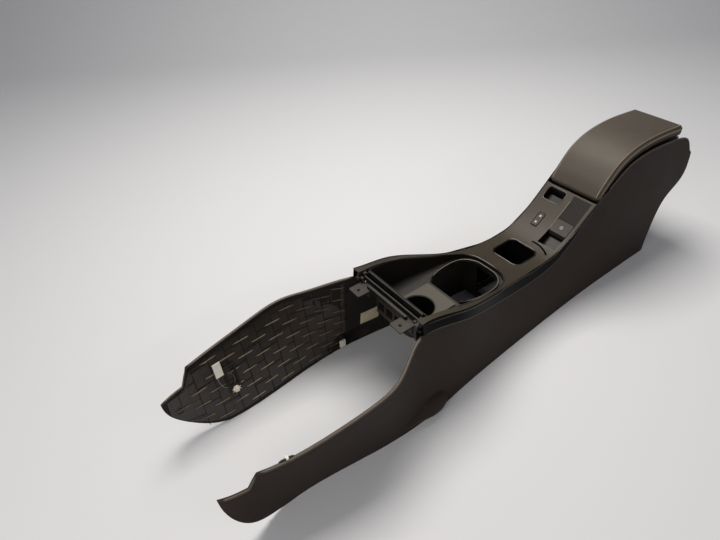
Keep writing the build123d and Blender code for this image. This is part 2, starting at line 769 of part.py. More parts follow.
# Rear floor bracket: a folded steel U under the bin, with its two bolt holes
rear_bolt_spacing = 60.0
rear_bolt_radius = 4.5
strap_station = 1190.0
strap_half_length = 20.0
strap_half_width = 52.0
strap_skin = 3.0
strap_lift = 2.0
strap_top = strap_lift + strap_skin
strap_front = strap_station - strap_half_length
strap_rear = strap_station + strap_half_length
with BuildPart() as rear_bracket:
    add(block(strap_front, strap_rear, -strap_half_width, strap_half_width, strap_lift, strap_top))
    for side in (-1, 1):
        middle = side * (strap_half_width - strap_skin / 2)
        add(block(strap_front, strap_rear, middle - strap_skin / 2, middle + strap_skin / 2,
                  strap_lift, bin_floor - seat_gap))
    with Locations(*[(at(strap_station), side * rear_bolt_spacing / 2, strap_top) for side in (-1, 1)]):
        Hole(rear_bolt_radius)
finish(rear_bracket.part, "rear_bracket")

# Front cross member: a stepped channel with three bars across the top
with BuildPart() as front_cross_member:
    add(block(cross_front, cross_rear, -cross_half, cross_half, cross_level, cross_level + cross_skin))
    for front, rear, half, top in cross_bars:
        add(block(front, rear, -half, half, cross_level + cross_foot, top))
    for side in (-1, 1):
        add(block(cross_front, cross_rear, side * cross_end - cross_skin, side * cross_end + cross_skin,
                  cross_level - cross_drop, cross_level + cross_rise))
    add(inner_volume, mode=Mode.INTERSECT)
finish(front_cross_member.part, "front_cross_member")

bracket_front = cross_front - seat_gap - bracket_length
bracket_bolt = bracket_front + 13
with BuildPart() as front_bracket:
    add(rounded(bracket_front, cross_front - seat_gap, -bracket_y - bracket_width / 2,
                -bracket_y + bracket_width / 2, 4, cross_level, cross_level + bracket_skin))
    add(block(cross_front - seat_gap - bracket_skin, cross_front - seat_gap, -bracket_y - bracket_width / 2,
              -bracket_y + bracket_width / 2, cross_level - 16, cross_level + bracket_skin))
    with Locations((at(bracket_bolt), -bracket_y, cross_level + bracket_skin)):
        Hole(bolt_radius)
finish_pair(front_bracket.part, "front_bracket")

with BuildPart() as connector_module:
    module_rear = cross_rear - 3 - seat_gap
    add(block(module_rear - module_length, module_rear, module_y - module_width / 2, module_y + module_width / 2,
              cross_level - seat_gap - module_height, cross_level - seat_gap))
    for socket in (-1, 0, 1):
        middle = module_y + socket * socket_pitch
        add(block(module_rear - module_length - 1, module_rear - socket_back, middle - socket_half,
                  middle + socket_half, cross_level - socket_low, cross_level - socket_high), mode=Mode.SUBTRACT)
finish(connector_module.part, "connector_module")

# Two rubber stops on the bin's rim hold the closed lid
for side, name in ((-1, "left"), (1, "right")):
    with BuildPart() as stop:
        add(lid_band(-seat_gap, seat_gap - lid_rest, far_out))
        with Locations((at(stop_station), side * (lid_half_width - stop_radius), loft_height / 2)):
            Cylinder(stop_radius, 2 * loft_height, mode=Mode.INTERSECT)
    finish(stop.part, f"rubber_stop_{name}")


# Hardware on the inner faces of the wings follows the wall, as a layer just inside it
def wall_layer(inner, outer):
    """The layer between two insets of the console's outer face."""
    with BuildPart() as layer:
        add(envelope(inner))
        add(envelope(outer), mode=Mode.SUBTRACT)
    return layer.part


bracket_seat = panel_wall + rib_height + seat_gap
bracket_layer = wall_layer(bracket_seat, bracket_seat + wing_bracket_wall)
with BuildPart() as wing_bracket:
    add(block(wing_bracket_front, wing_bracket_rear, -far_out, 0, wing_bracket_low, wing_bracket_high))
    add(block(wing_bracket_front + wing_bracket_frame, wing_bracket_rear - wing_bracket_frame, -far_out, 0,
              wing_bracket_low + wing_bracket_foot, wing_bracket_high - wing_bracket_frame), mode=Mode.SUBTRACT)
    add(bracket_layer, mode=Mode.INTERSECT)
finish_pair(wing_bracket.part, "wing_bracket")

# Push clip: a disc and a stub that stand square on the left bracket's face
clip_lean = Plane(origin=(at(clip_station), clip_reach - clip_half_width, clip_height), x_dir=(1, 0, 0),
                  z_dir=(0, 1, clip_slope))
with BuildPart() as push_clip:
    with Locations(clip_lean):
        Cylinder(clip_head_radius, clip_skin, align=(Align.CENTER, Align.CENTER, Align.MIN))
        Cylinder(clip_radius, clip_length, align=(Align.CENTER, Align.CENTER, Align.MIN))
finish_pair(push_clip.part, "push_clip")


def wall_plate(front, rear, low, high, thickness, seat=bracket_seat):
    """A small flat piece on the inner face of the right-hand panel, on the ribs or on the plain wall."""
    layer = wall_layer(seat, seat + thickness)
    with BuildPart() as plate:
        add(block(front, rear, 0, far_out, low, high))
        add(layer, mode=Mode.INTERSECT)
    return plate.part


finish(wall_plate(*tag_place, tag_skin), "wing_tag")
finish(wall_plate(*edge_clip_place, edge_clip_skin), "edge_clip")
finish(wall_plate(*foil_place, foil_skin, panel_wall + seat_gap), "foil_patch")

# Four hexagonal screws hold the cross member
with BuildPart() as cross_screws:
    with BuildSketch(Plane.XY.offset(cross_level + cross_skin + seat_gap)):
        with Locations(*[(at(station), side * screw_y) for station in screw_stations for side in (-1, 1)]):
            RegularPolygon(screw_radius, 6)
    extrude(amount=screw_height)
finish(cross_screws.part, "cross_screws")
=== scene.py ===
# %% [markdown]
# A car center console, dressed for a studio picture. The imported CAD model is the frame: it gives every
# piece its place, and nothing here moves or resizes it. This lesson first reads the frame, then sets up
# the camera and the light, then builds each finish and each surface that deserves a finer mesh than the
# CAD solid has.

# %% Load the frame
import math
import bpy
import numpy as np
from mathutils import Matrix, Vector
from mathutils.bvhtree import BVHTree


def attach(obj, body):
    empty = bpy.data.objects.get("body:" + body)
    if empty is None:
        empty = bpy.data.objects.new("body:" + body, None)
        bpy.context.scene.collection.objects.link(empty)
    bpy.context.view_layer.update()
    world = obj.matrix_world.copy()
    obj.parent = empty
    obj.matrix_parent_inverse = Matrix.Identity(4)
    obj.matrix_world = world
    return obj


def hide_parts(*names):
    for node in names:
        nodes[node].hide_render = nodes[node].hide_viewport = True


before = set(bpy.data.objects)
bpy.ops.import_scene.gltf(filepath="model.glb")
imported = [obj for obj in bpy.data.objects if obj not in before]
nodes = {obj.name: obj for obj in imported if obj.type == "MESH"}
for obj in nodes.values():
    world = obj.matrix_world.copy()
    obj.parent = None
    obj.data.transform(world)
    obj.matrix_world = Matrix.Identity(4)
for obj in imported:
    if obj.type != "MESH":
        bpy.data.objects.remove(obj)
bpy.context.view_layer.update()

# %% [markdown]
# Places on a console are easiest to say as stations, which are distances behind the wing tips, and as
# heights above the floor, both in millimetres. Blender counts in metres from the middle of the length, so
# two small helpers go from one to the other. Y grows towards the console's right: its left is side -1.

# %% Millimetres and stations
MM = 0.001
LENGTH = 1376.0
TINY = 1e-9  # keeps a division by a length of zero away


def at(station):
    """X in metres of a station in millimetres: the origin is halfway along the console."""
    return (station - LENGTH / 2) * MM


def station_of(x):
    """Station in millimetres of an X in metres."""
    return x / MM + LENGTH / 2


print("wing tips at x =", at(0), "and the nose at x =", at(LENGTH))

# %% [markdown]
# The camera stands beside the wing tips, about a metre up, and looks along the console and down on it. Its
# place, its three angles and its focal length were found by fitting the console's symmetric corners. A
# constraint could aim it, but a fitted camera has a roll too, so its three directions are worked out and
# written as a matrix.

# %% Camera
CAMERA_PLACE = Vector((at(-72.2), -0.6707, 0.9969))
CAMERA_YAW = math.radians(55.65)
CAMERA_PITCH = math.radians(39.17)
CAMERA_ROLL = math.radians(-3.5)
FOCAL_PIXELS = 579.8
PHOTO_WIDTH = 720
SENSOR_WIDTH = 36.0

forward = Vector((math.cos(CAMERA_PITCH) * math.cos(CAMERA_YAW),
                  math.cos(CAMERA_PITCH) * math.sin(CAMERA_YAW), -math.sin(CAMERA_PITCH)))
level_right = forward.cross(Vector((0, 0, 1))).normalized()
level_up = level_right.cross(forward)
right = math.cos(CAMERA_ROLL) * level_right + math.sin(CAMERA_ROLL) * level_up
up = math.cos(CAMERA_ROLL) * level_up - math.sin(CAMERA_ROLL) * level_right
scene = bpy.context.scene
camera_data = bpy.data.cameras.new("camera")
camera = bpy.data.objects.new("camera", camera_data)
scene.collection.objects.link(camera)
camera_data.sensor_fit = "HORIZONTAL"
camera_data.sensor_width = SENSOR_WIDTH
camera_data.lens = FOCAL_PIXELS / PHOTO_WIDTH * SENSOR_WIDTH
camera.matrix_world = Matrix((right, up, -forward)).transposed().to_4x4()
camera.location = CAMERA_PLACE
bpy.context.scene.camera = camera
print("lens", round(camera_data.lens, 2), "mm")

# %% [markdown]
# Every surface in this lesson is a grid of points or a few of them, and every finish is one Principled
# shader. Blender's own primitives could be edited into shape, but a grid that is computed keeps its formula
# in sight. These helpers turn arrays into an object that sits at the origin, with its place in its mesh.

# %% Objects from arrays


def principled(name):
    """A new material, its node tree and its Principled shader."""
    material = bpy.data.materials.new(name)
    material.use_nodes = True
    return material, material.node_tree, material.node_tree.nodes["Principled BSDF"]


def mesh_object(name, points, faces):
    """A smooth-shaded object at the origin from arrays of points and faces."""
    mesh = bpy.data.meshes.new(name)
    mesh.from_pydata(np.asarray(points).tolist(), [], [list(map(int, face)) for face in faces])
    mesh.validate()
    mesh.polygons.foreach_set("use_smooth", [True] * len(mesh.polygons))
    mesh.update()
    made = bpy.data.objects.new(name, mesh)
    scene.collection.objects.link(made)
    return made


def grid_faces(rows, columns, close_rows=False, close_columns=False):
    """Quads of a grid of points that is rows long and columns wide, wrapped round where it closes."""
    r = np.arange(rows if close_rows else rows - 1)
    c = np.arange(columns if close_columns else columns - 1)
    r, c = np.meshgrid(r, c, indexing="ij")
    r, c = r.ravel(), c.ravel()
    r2, c2 = (r + 1) % rows, (c + 1) % columns
    return np.stack([r * columns + c, r2 * columns + c, r2 * columns + c2, r * columns + c2], 1)


print("a grid of 3 by 4 points has", len(grid_faces(3, 4)), "faces")

# %% [markdown]
# The studio is a sheet of pale paint: a floor that curves up behind the console, so that no horizon line
# cuts the picture. Its section is a line, a quarter circle and another line, carried sideways.

# %% Floor and backdrop
FLOOR_COLOR = (0.62, 0.64, 0.68)
FLOOR_ROUGHNESS = 0.75
FLOOR_FRONT = -4.0
FLOOR_SINK = 0.0005
BACKDROP_BACK = 1.9
BACKDROP_TOP = 3.2
BACKDROP_HALF = 7.0
BACKDROP_CURVE = 0.9
BACKDROP_STEPS = 24

floor_material, _, floor_shader = principled("floor_paint")
floor_shader.inputs["Base Color"].default_value = (*FLOOR_COLOR, 1)
floor_shader.inputs["Roughness"].default_value = FLOOR_ROUGHNESS
sweep = np.linspace(0, math.pi / 2, BACKDROP_STEPS)
curve = np.stack([BACKDROP_BACK + BACKDROP_CURVE * np.sin(sweep), BACKDROP_CURVE * (1 - np.cos(sweep))], 1)
profile = np.concatenate([[(FLOOR_FRONT, 0.0)], curve, [(BACKDROP_BACK + BACKDROP_CURVE, BACKDROP_TOP)]])
away = np.array([forward.x, forward.y, 0]) / math.hypot(forward.x, forward.y)
crosswise = np.array([away[1], -away[0], 0])
widths = np.array([-BACKDROP_HALF, BACKDROP_HALF])
backdrop_points = (profile[:, None, :1] * away + widths[None, :, None] * crosswise
                   + (profile[:, None, 1:] - FLOOR_SINK) * (0, 0, 1)).reshape(-1, 3)
backdrop = mesh_object("backdrop", backdrop_points, grid_faces(len(profile), 2))
backdrop.data.materials.append(floor_material)
print("backdrop", len(backdrop_points), "points")

# %% [markdown]
# Three soft lamps light it. A large one hangs high on the console's right, and the gloss strips mirror it. A
# smaller one fills the wings from the front, and a long narrow one on the left draws a line along the side.
# A lit picture of a room could do it too, but then the light would not be plain. The world adds a little.

# %% Lamps
# Name, place and target in metres, width and height in metres, watts, colour
LAMPS = (("overhead", (0.2, 0.7, 2.2), (0.1, 0, 0.1), (1.5, 1.1), 56, (1.0, 0.94, 0.85)),
         ("front_fill", (-1.9, -0.9, 1.3), (-0.2, 0, 0.1), (0.9, 0.7), 14, (1.0, 0.94, 0.86)),
         ("side_strip", (0.4, -2.4, 1.9), (0.1, 0, 0.2), (2.4, 0.12), 7, (1.0, 0.95, 0.88)))
WORLD_COLOR = (0.95, 0.94, 1.0, 1)
WORLD_STRENGTH = 0.2


def soft_lamp(name, place, target, size, watts, color):
    """A rectangular area lamp at a place, aimed at a target."""
    data = bpy.data.lights.new(name, "AREA")
    data.shape = "RECTANGLE"
    data.size, data.size_y = size
    data.energy = watts
    data.color = color
    lamp = bpy.data.objects.new(name, data)
    scene.collection.objects.link(lamp)
    lamp.location = place
    lamp.rotation_euler = (Vector(target) - Vector(place)).to_track_quat("-Z", "Y").to_euler()


for lamp_values in LAMPS:
    soft_lamp(*lamp_values)
world = bpy.data.worlds.new("studio")
scene.world = world
world.use_nodes = True
world.node_tree.nodes["Background"].inputs["Color"].default_value = WORLD_COLOR
world.node_tree.nodes["Background"].inputs["Strength"].default_value = WORLD_STRENGTH
scene.view_settings.view_transform = "Standard"
print("lamps", len(LAMPS))

# %% [markdown]
# Moulded interior plastic is never smooth: the tool is etched with a grain of small rounded cells, and dust
# and handling change its sheen from place to place. Both effects are node groups, so each finish can set
# its own scale. A picture could carry them as well, but a procedure needs no unwrapping and has no seams.

# %% Node helpers


def group(name, inputs, outputs):
    """A shader node group with a Vector input, the given float inputs and the given float outputs."""
    tree = bpy.data.node_groups.new(name, "ShaderNodeTree")
    tree.interface.new_socket("Vector", in_out="INPUT", socket_type="NodeSocketVector")
    for label, value in inputs.items():
        socket = tree.interface.new_socket(label, in_out="INPUT", socket_type="NodeSocketFloat")
        socket.default_value = value
    for label in outputs:
        tree.interface.new_socket(label, in_out="OUTPUT", socket_type="NodeSocketFloat")
    return tree, tree.nodes.new("NodeGroupInput"), tree.nodes.new("NodeGroupOutput")


def node(tree, kind, inputs=None, **settings):
    """A node with its settings, and its inputs linked to sockets or set to values."""
    made = tree.nodes.new(kind)
    for label, value in settings.items():
        setattr(made, label, value)
    for label, value in (inputs or {}).items():
        if isinstance(value, bpy.types.NodeSocket):
            tree.links.new(value, made.inputs[label])
        else:
            made.inputs[label].default_value = value
    return made


print("helpers for nodes ready")

# %% [markdown]
# The grain is a field of cells whose borders are bent a little by noise. The distance to a cell's edge,
# rounded off, gives the height, and one minus the height gives the pits between the cells.

# %% Moulded grain
GRAIN_SCALE = 900.0
WARP_REACH = 0.0009

grain_tree, grain_in, grain_out = group("moulded_grain", {"Scale": GRAIN_SCALE}, ["Height", "Pits"])
grain_place = grain_in.outputs["Vector"]
warp = node(grain_tree, "ShaderNodeTexNoise", {"Vector": grain_place, "Scale": 260.0, "Detail": 2.0})
shifted = node(grain_tree, "ShaderNodeVectorMath",
               {0: warp.outputs["Color"], 1: (WARP_REACH, WARP_REACH, WARP_REACH), 2: grain_place},
               operation="MULTIPLY_ADD")
cells = node(grain_tree, "ShaderNodeTexVoronoi",
             {"Vector": shifted.outputs["Vector"], "Scale": grain_in.outputs["Scale"]},
             feature="DISTANCE_TO_EDGE")
rounded_cells = node(grain_tree, "ShaderNodeMapRange", {"Value": cells.outputs["Distance"], "From Max": 0.25},
                     interpolation_type="SMOOTHSTEP")
grain_tree.links.new(rounded_cells.outputs["Result"], grain_out.inputs["Height"])
pits = node(grain_tree, "ShaderNodeMath", {0: 1.0, 1: rounded_cells.outputs["Result"]}, operation="SUBTRACT")
grain_tree.links.new(pits.outputs["Value"], grain_out.inputs["Pits"])
print("group", grain_tree.name)

# %% [markdown]
# Handling leaves broad smears, and dust settles in specks. The smears are the upper part of a slow noise,
# and the specks are the middles of small scattered cells.

# %% Handling marks
dust_tree, dust_in, dust_out = group("handling_marks", {"Scale": 9.0}, ["Smears", "Specks"])
dust_place = dust_in.outputs["Vector"]
smears = node(dust_tree, "ShaderNodeTexNoise",
              {"Vector": dust_place, "Scale": dust_in.outputs["Scale"], "Detail": 6.0, "Roughness": 0.62,
               "Distortion": 0.6})
smear_mask = node(dust_tree, "ShaderNodeMapRange",
                  {"Value": smears.outputs["Fac"], "From Min": 0.42, "From Max": 0.72})
dust_tree.links.new(smear_mask.outputs["Result"], dust_out.inputs["Smears"])
specks = node(dust_tree, "ShaderNodeTexVoronoi", {"Vector": dust_place, "Scale": 420.0, "Randomness": 1.0})
speck_mask = node(dust_tree, "ShaderNodeMapRange",
                  {"Value": specks.outputs["Distance"], "From Min": 0.12, "From Max": 0.05})
dust_tree.links.new(speck_mask.outputs["Result"], dust_out.inputs["Specks"])
print("group", dust_tree.name)

# %% [markdown]
# One function makes every hard finish: a base colour that drifts between two shades where the console is
# handled, a roughness that smears raise, and the etched grain as bump. The values are what tells satin,
# gloss and matte apart.

# %% One function for hard finishes
DUST = (0.35, 0.32, 0.28, 1)
SPECK_SHARE = 0.10
# Sockets of a Mix node that is set to colours: first colour, second colour, result
MIX_FIRST, MIX_SECOND, MIX_RESULT = 6, 7, 2


def srgb(red, green, blue):
    """Linear colour from the 0 to 255 values that a picture shows."""
    c = np.array([red, green, blue]) / 255
    return tuple(np.where(c <= 0.04045, c / 12.92, ((c + 0.055) / 1.055) ** 2.4).tolist())


def mixed(tree, share, first, second):
    """Colour socket of a mix between two colours, each a socket or a value."""
    mix = tree.nodes.new("ShaderNodeMix")
    mix.data_type = "RGBA"
    tree.links.new(share, mix.inputs["Factor"])
    for place, color in ((MIX_FIRST, first), (MIX_SECOND, second)):
        if isinstance(color, bpy.types.NodeSocket):
            tree.links.new(color, mix.inputs[place])
        else:
            mix.inputs[place].default_value = color
    return mix.outputs[MIX_RESULT]


def plastic(name, color, worn, roughness, smeared, grain_scale=GRAIN_SCALE, grain_depth=0.00008, gloss=0.5,
            metallic=0.0):
    """Moulded material: colour and roughness drift with the smears, bump from the grain."""
    material, tree, shader = principled(name)
    place = node(tree, "ShaderNodeTexCoord").outputs["Object"]
    marks = node(tree, "ShaderNodeGroup", node_tree=dust_tree)
    tree.links.new(place, marks.inputs["Vector"])
    grain = node(tree, "ShaderNodeGroup", node_tree=grain_tree)
    tree.links.new(place, grain.inputs["Vector"])
    grain.inputs["Scale"].default_value = grain_scale
    speck_share = node(tree, "ShaderNodeMath", {0: marks.outputs["Specks"], 1: SPECK_SHARE},
                       operation="MULTIPLY")
    drift = mixed(tree, marks.outputs["Smears"], (*color, 1), (*worn, 1))
    tree.links.new(mixed(tree, speck_share.outputs["Value"], drift, DUST), shader.inputs["Base Color"])
    sheen = node(tree, "ShaderNodeMapRange",
                 {"Value": marks.outputs["Smears"], "To Min": roughness, "To Max": smeared})
    tree.links.new(sheen.outputs["Result"], shader.inputs["Roughness"])
    bump = node(tree, "ShaderNodeBump",
                {"Height": grain.outputs["Height"], "Distance": grain_depth, "Strength": 1.0})
    tree.links.new(bump.outputs["Normal"], shader.inputs["Normal"])
    shader.inputs["Specular IOR Level"].default_value = gloss
    shader.inputs["Metallic"].default_value = metallic
    return material


print("mid grey is", [round(v, 3) for v in srgb(128, 128, 128)])

# %% [markdown]
# Each finish of the console is one line: the colour and its worn shade, the roughness and its smeared
# value, then the grain's scale and depth. The side panels are grained skin, the bezel is satin, and the
# long strips are polished, with a low index of refraction so that they stay deep black between highlights.

# %% Finishes of the console
POLISHED_IOR = 1.22

panel_skin = plastic("panel_skin", srgb(38, 29, 25), srgb(47, 37, 31), 0.62, 0.72, 850, 0.00016, gloss=0.2)
satin_black = plastic("satin_black", srgb(45, 39, 29), srgb(51, 45, 34), 0.4, 0.44, 1500, 0.00003, gloss=0.25)
piano_black = plastic("piano_black", srgb(7, 6, 6), srgb(10, 9, 9), 0.08, 0.16, 1500, 0.000002, gloss=0.12)
piano_black.node_tree.nodes["Principled BSDF"].inputs["IOR"].default_value = POLISHED_IOR
grey_plastic = plastic("grey_plastic", srgb(62, 58, 50), srgb(70, 65, 56), 0.5, 0.6, 1600, 0.00005)
dark_grey = plastic("dark_grey", srgb(42, 38, 34), srgb(50, 45, 40), 0.45, 0.55, 1600, 0.00005, gloss=0.3)
matte_brown = plastic("matte_brown", srgb(17, 13, 11), srgb(24, 19, 16), 0.42, 0.55, 1300, 0.00006,
                      gloss=0.15)
black_plastic = plastic("black_plastic", srgb(18, 16, 15), srgb(27, 24, 21), 0.4, 0.56, 1100, 0.00006,
                        gloss=0.35)
gloss_black = plastic("gloss_black", srgb(9, 8, 8), srgb(14, 12, 11), 0.3, 0.4, 1500, 0.000004, gloss=0.2)
rubber_black = plastic("rubber_black", srgb(22, 22, 22), srgb(36, 34, 32), 0.75, 0.85, 700, 0.00006)
white_plastic = plastic("white_plastic", srgb(232, 230, 220), srgb(208, 202, 182), 0.4, 0.55, 1200, 0.00002)
plated_steel = plastic("plated_steel", srgb(150, 148, 142), srgb(120, 115, 106), 0.34, 0.5, 1400, 0.00002,
                       metallic=1.0)
dark_chrome = plastic("dark_chrome", srgb(70, 65, 60), srgb(52, 48, 44), 0.14, 0.28, 1400, 0.00001,
                      metallic=1.0)
foil = plastic("foil", srgb(222, 212, 182), srgb(150, 138, 110), 0.4, 0.55, 240, 0.0006)

finishes = {
    "side_panel_left": panel_skin, "side_panel_right": panel_skin, "rear_panel": panel_skin,
    "top_bezel": satin_black, "trim_strip_left": piano_black, "trim_strip_right": piano_black,
    "cup_tray": grey_plastic, "wrist_plate": matte_brown, "brake_switch": dark_grey,
    "finger_pocket": gloss_black, "rocker_switch": gloss_black, "brake_housing": gloss_black,
    "cubby_bin": gloss_black, "front_bracket_left": dark_grey, "front_bracket_right": dark_grey,
    "connector_module": dark_grey, "hinge_pin": plated_steel, "hinge_bracket": plated_steel,
    "rear_bracket": plated_steel, "latch_striker": plated_steel, "cross_screws": plated_steel,
    "lever_rail": dark_chrome, "bin_mat": rubber_black, "rubber_stop_left": rubber_black,
    "rubber_stop_right": rubber_black, "push_clip_left": white_plastic, "push_clip_right": white_plastic,
    "wing_tag": white_plastic, "edge_clip": white_plastic, "foil_patch": foil,
}
for name, obj in nodes.items():
    obj.data.materials.clear()
    obj.data.materials.append(finishes.get(name, black_plastic))
print("finishes given to", len(nodes), "nodes")

# %% [markdown]
# Only the outside of a side panel is finished as skin, and its inside is bare moulding, a little darker. A
# second material could be given to the inner faces, but the mesh is left as it is, so the shader tells
# them apart: an inner face looks towards the middle, and there Y times the normal's Y is below zero. The
# limit lies a little under zero, so that a surface which faces up still counts as outside.

# %% Bare inside of the panels
BARE_COLOR = srgb(30, 26, 23)
INWARD_LIMIT = -0.004

skin_tree = panel_skin.node_tree
skin_shader = skin_tree.nodes["Principled BSDF"]
skin_place = skin_tree.nodes["Texture Coordinate"]
place_parts = node(skin_tree, "ShaderNodeSeparateXYZ", {"Vector": skin_place.outputs["Object"]})
normal_parts = node(skin_tree, "ShaderNodeSeparateXYZ", {"Vector": skin_place.outputs["Normal"]})
facing = node(skin_tree, "ShaderNodeMath", {0: place_parts.outputs["Y"], 1: normal_parts.outputs["Y"]},
              operation="MULTIPLY")
inside = node(skin_tree, "ShaderNodeMath", {0: facing.outputs["Value"], 1: INWARD_LIMIT},
              operation="LESS_THAN")
outer_color = skin_shader.inputs["Base Color"].links[0].from_socket
skin_tree.links.new(mixed(skin_tree, inside.outputs["Value"], outer_color, (*BARE_COLOR, 1)),
                    skin_shader.inputs["Base Color"])
print("inner faces of the panels told apart")

# %% [markdown]
# The armrest needs two tools: a smooth curve through a few places, which the lips and the wires use later
# as well, and a box whose points crowd towards its edges, where they are needed to draw a round.

# %% Curves and boxes
SPLINE_STEPS = 40
WELD_DIGITS = 7


def smooth_line(points, count):
    """Points of a smooth curve through stations and heights, in metres: a Catmull-Rom spline, which blends
    the four points round each span by cubics of the way along it, sampled evenly by its length."""
    p = np.array([(at(s), z * MM) for s, z in points])
    p = np.concatenate([[2 * p[0] - p[1]], p, [2 * p[-1] - p[-2]]])
    t = np.linspace(0, 1, SPLINE_STEPS, endpoint=False)[:, None]
    runs = [0.5 * ((2 * b) + (c - a) * t + (2 * a - 5 * b + 4 * c - d) * t ** 2
                   + (3 * b - a - 3 * c + d) * t ** 3)
            for a, b, c, d in zip(p, p[1:], p[2:], p[3:])]
    line = np.concatenate([*runs, p[-2:-1]])
    walked = np.concatenate([[0], np.cumsum(np.linalg.norm(np.diff(line, axis=0), axis=1))])
    wanted = walked[-1] * np.linspace(0, 1, count)
    return np.stack([np.interp(wanted, walked, values) for values in line.T], 1)


def cube_grids(x, y, z):
    """Points and faces of a box's surface from three lists of coordinates, welded where its grids meet."""
    points, faces, base = [], [], 0
    for fixed, first, second in ((0, y, z), (1, z, x), (2, x, y)):
        ends = ((x[0], x[-1]), (y[0], y[-1]), (z[0], z[-1]))[fixed]
        for turn, end in enumerate(ends):
            a, b = np.meshgrid(first, second, indexing="ij")
            sheet = np.empty((a.size, 3))
            sheet[:, fixed], sheet[:, (fixed + 1) % 3], sheet[:, (fixed + 2) % 3] = end, a.ravel(), b.ravel()
            quads = grid_faces(len(first), len(second)) + base
            points.append(sheet)
            faces.append(quads if turn else quads[:, ::-1])
            base += len(sheet)
    welded, where = np.unique(np.round(np.concatenate(points), WELD_DIGITS), axis=0, return_inverse=True)
    return welded, where.ravel()[np.concatenate(faces)]


def crowded(half, count, power=1.7):
    """Coordinates from minus half to half, closer together towards both ends: each share of the way out is
    one minus a power of what is left of it."""
    t = np.linspace(-1, 1, count)
    return half * np.sign(t) * (1 - (1 - np.abs(t)) ** power)


print("five crowded places", crowded(1.0, 5).round(2))

# %% [markdown]
# The armrest is a firm cushion under tight leather. Cloth could be simulated over a core, but leather this
# tight has no free folds, so the shape is worked out instead. It starts as a box with rounded edges, made
# from the six grids of a cube: each point is pulled back to the box's core and pushed out again by the
# radius of the edge.

# %% Cushion box
CUSHION_HALF_WIDTH = 68.3 * MM
CUSHION_HALF_HEIGHT = 13.2 * MM
CUSHION_EDGE = 9.0 * MM
CUSHION_CORNER = 8.0 * MM
CUSHION_LINE = ((1016, 245.5), (1043, 281), (1080, 314), (1134, 333.0), (1210, 337.2), (1319, 328.5))
AXIS_POINTS = 400
COUNT_ALONG, COUNT_ACROSS, COUNT_UP = 190, 90, 26
CROWDING_ACROSS = 2.2

cushion_axis = smooth_line(CUSHION_LINE, AXIS_POINTS)
axis_length = np.linalg.norm(np.diff(cushion_axis, axis=0), axis=1).sum()
cushion_half = np.array([axis_length / 2, CUSHION_HALF_WIDTH, CUSHION_HALF_HEIGHT])
core, cushion_faces = cube_grids(crowded(axis_length / 2, COUNT_ALONG),
                                 crowded(CUSHION_HALF_WIDTH, COUNT_ACROSS, CROWDING_ACROSS),
                                 crowded(CUSHION_HALF_HEIGHT, COUNT_UP))
inner = np.clip(core, CUSHION_EDGE - cushion_half, cushion_half - CUSHION_EDGE)
push = core - inner
outward = push / np.maximum(np.linalg.norm(push, axis=1), TINY)[:, None]
soft = inner + CUSHION_EDGE * outward
# In plan the corners are rounded too: near each end the width follows a quarter circle
from_end = np.clip((cushion_half[0] - np.abs(soft[:, 0])) / CUSHION_CORNER, 0, 1)
soft[:, 1] *= 1 - CUSHION_CORNER / cushion_half[1] * (1 - np.sqrt(1 - (1 - from_end) ** 2))
print("cushion axis", round(axis_length, 3), "m")

# %% [markdown]
# A seam joins the top panel of the leather to its sides, along the middle of the rounded edge. The thread
# draws it in, and beside it the padding puffs out. Both are bell curves of the distance to the seam. The
# top is crowned as well, by a hump that dies away towards the sides and the ends.

# %% Seam and crown
SEAM_DEPTH, SEAM_WIDTH = 1.3 * MM, 1.1 * MM
PUFF_HEIGHT, PUFF_PLACE, PUFF_WIDTH = 0.5 * MM, 4.5 * MM, 2.5 * MM
CUSHION_CROWN = 2.2 * MM
CROWN_ACROSS, CROWN_ALONG = 2.6, 6
SEAM_REACH = 0.02
FAR_FROM_SEAM = 1.0


def lean(points):
    """The seam's coordinate in metres: zero where the rounded edge between the top and a side leans at 45
    degrees, and a metre where a point is nowhere near that edge."""
    side = np.abs(points[:, 1]) - (CUSHION_HALF_WIDTH - CUSHION_EDGE)
    top = points[:, 2] - (CUSHION_HALF_HEIGHT - CUSHION_EDGE)
    return np.where((side > -SEAM_REACH) & (top > -SEAM_REACH), side - top, FAR_FROM_SEAM)


along = soft[:, 0] / cushion_half[0]
across = soft[:, 1] / cushion_half[1]
seam = np.exp(-(lean(soft) / SEAM_WIDTH) ** 2)
puff = np.exp(-((np.abs(lean(soft)) - PUFF_PLACE) / PUFF_WIDTH) ** 2)
soft += outward * (PUFF_HEIGHT * puff - SEAM_DEPTH * seam)[:, None]
raised = np.clip(soft[:, 2] / cushion_half[2], 0, 1)
soft[:, 2] += CUSHION_CROWN * raised * (1 - np.abs(across) ** CROWN_ACROSS) * (1 - along ** CROWN_ALONG)
print("points drawn in by the seam", int((seam > 0.5).sum()))

# %% [markdown]
# Last, the straight cushion is bent along the lid, which rises steeply at the front and runs level behind.
# A Curve modifier could bend it, but the stitches have to follow the same bend, so it is a function.

# %% Bend the cushion


def bend(points):
    """Bend points along the cushion's axis: the first coordinate walks along it, the third stands off its
    normal, and the second stays."""
    walked = np.linspace(0, axis_length, len(cushion_axis))
    tangent = np.gradient(cushion_axis, axis=0)
    tangent /= np.linalg.norm(tangent, axis=1)[:, None]
    w = np.clip(points[:, 0] + axis_length / 2, 0, axis_length)
    x, z, tx, tz = (np.interp(w, walked, v) for v in (*cushion_axis.T, *tangent.T))
    return np.stack([x - tz * points[:, 2], points[:, 1], z + tx * points[:, 2]], 1)


cushion = mesh_object("armrest_leather", bend(soft), cushion_faces)
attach(cushion, "lid")
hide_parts("armrest_cushion")
print("cushion", len(cushion.data.vertices), "points")

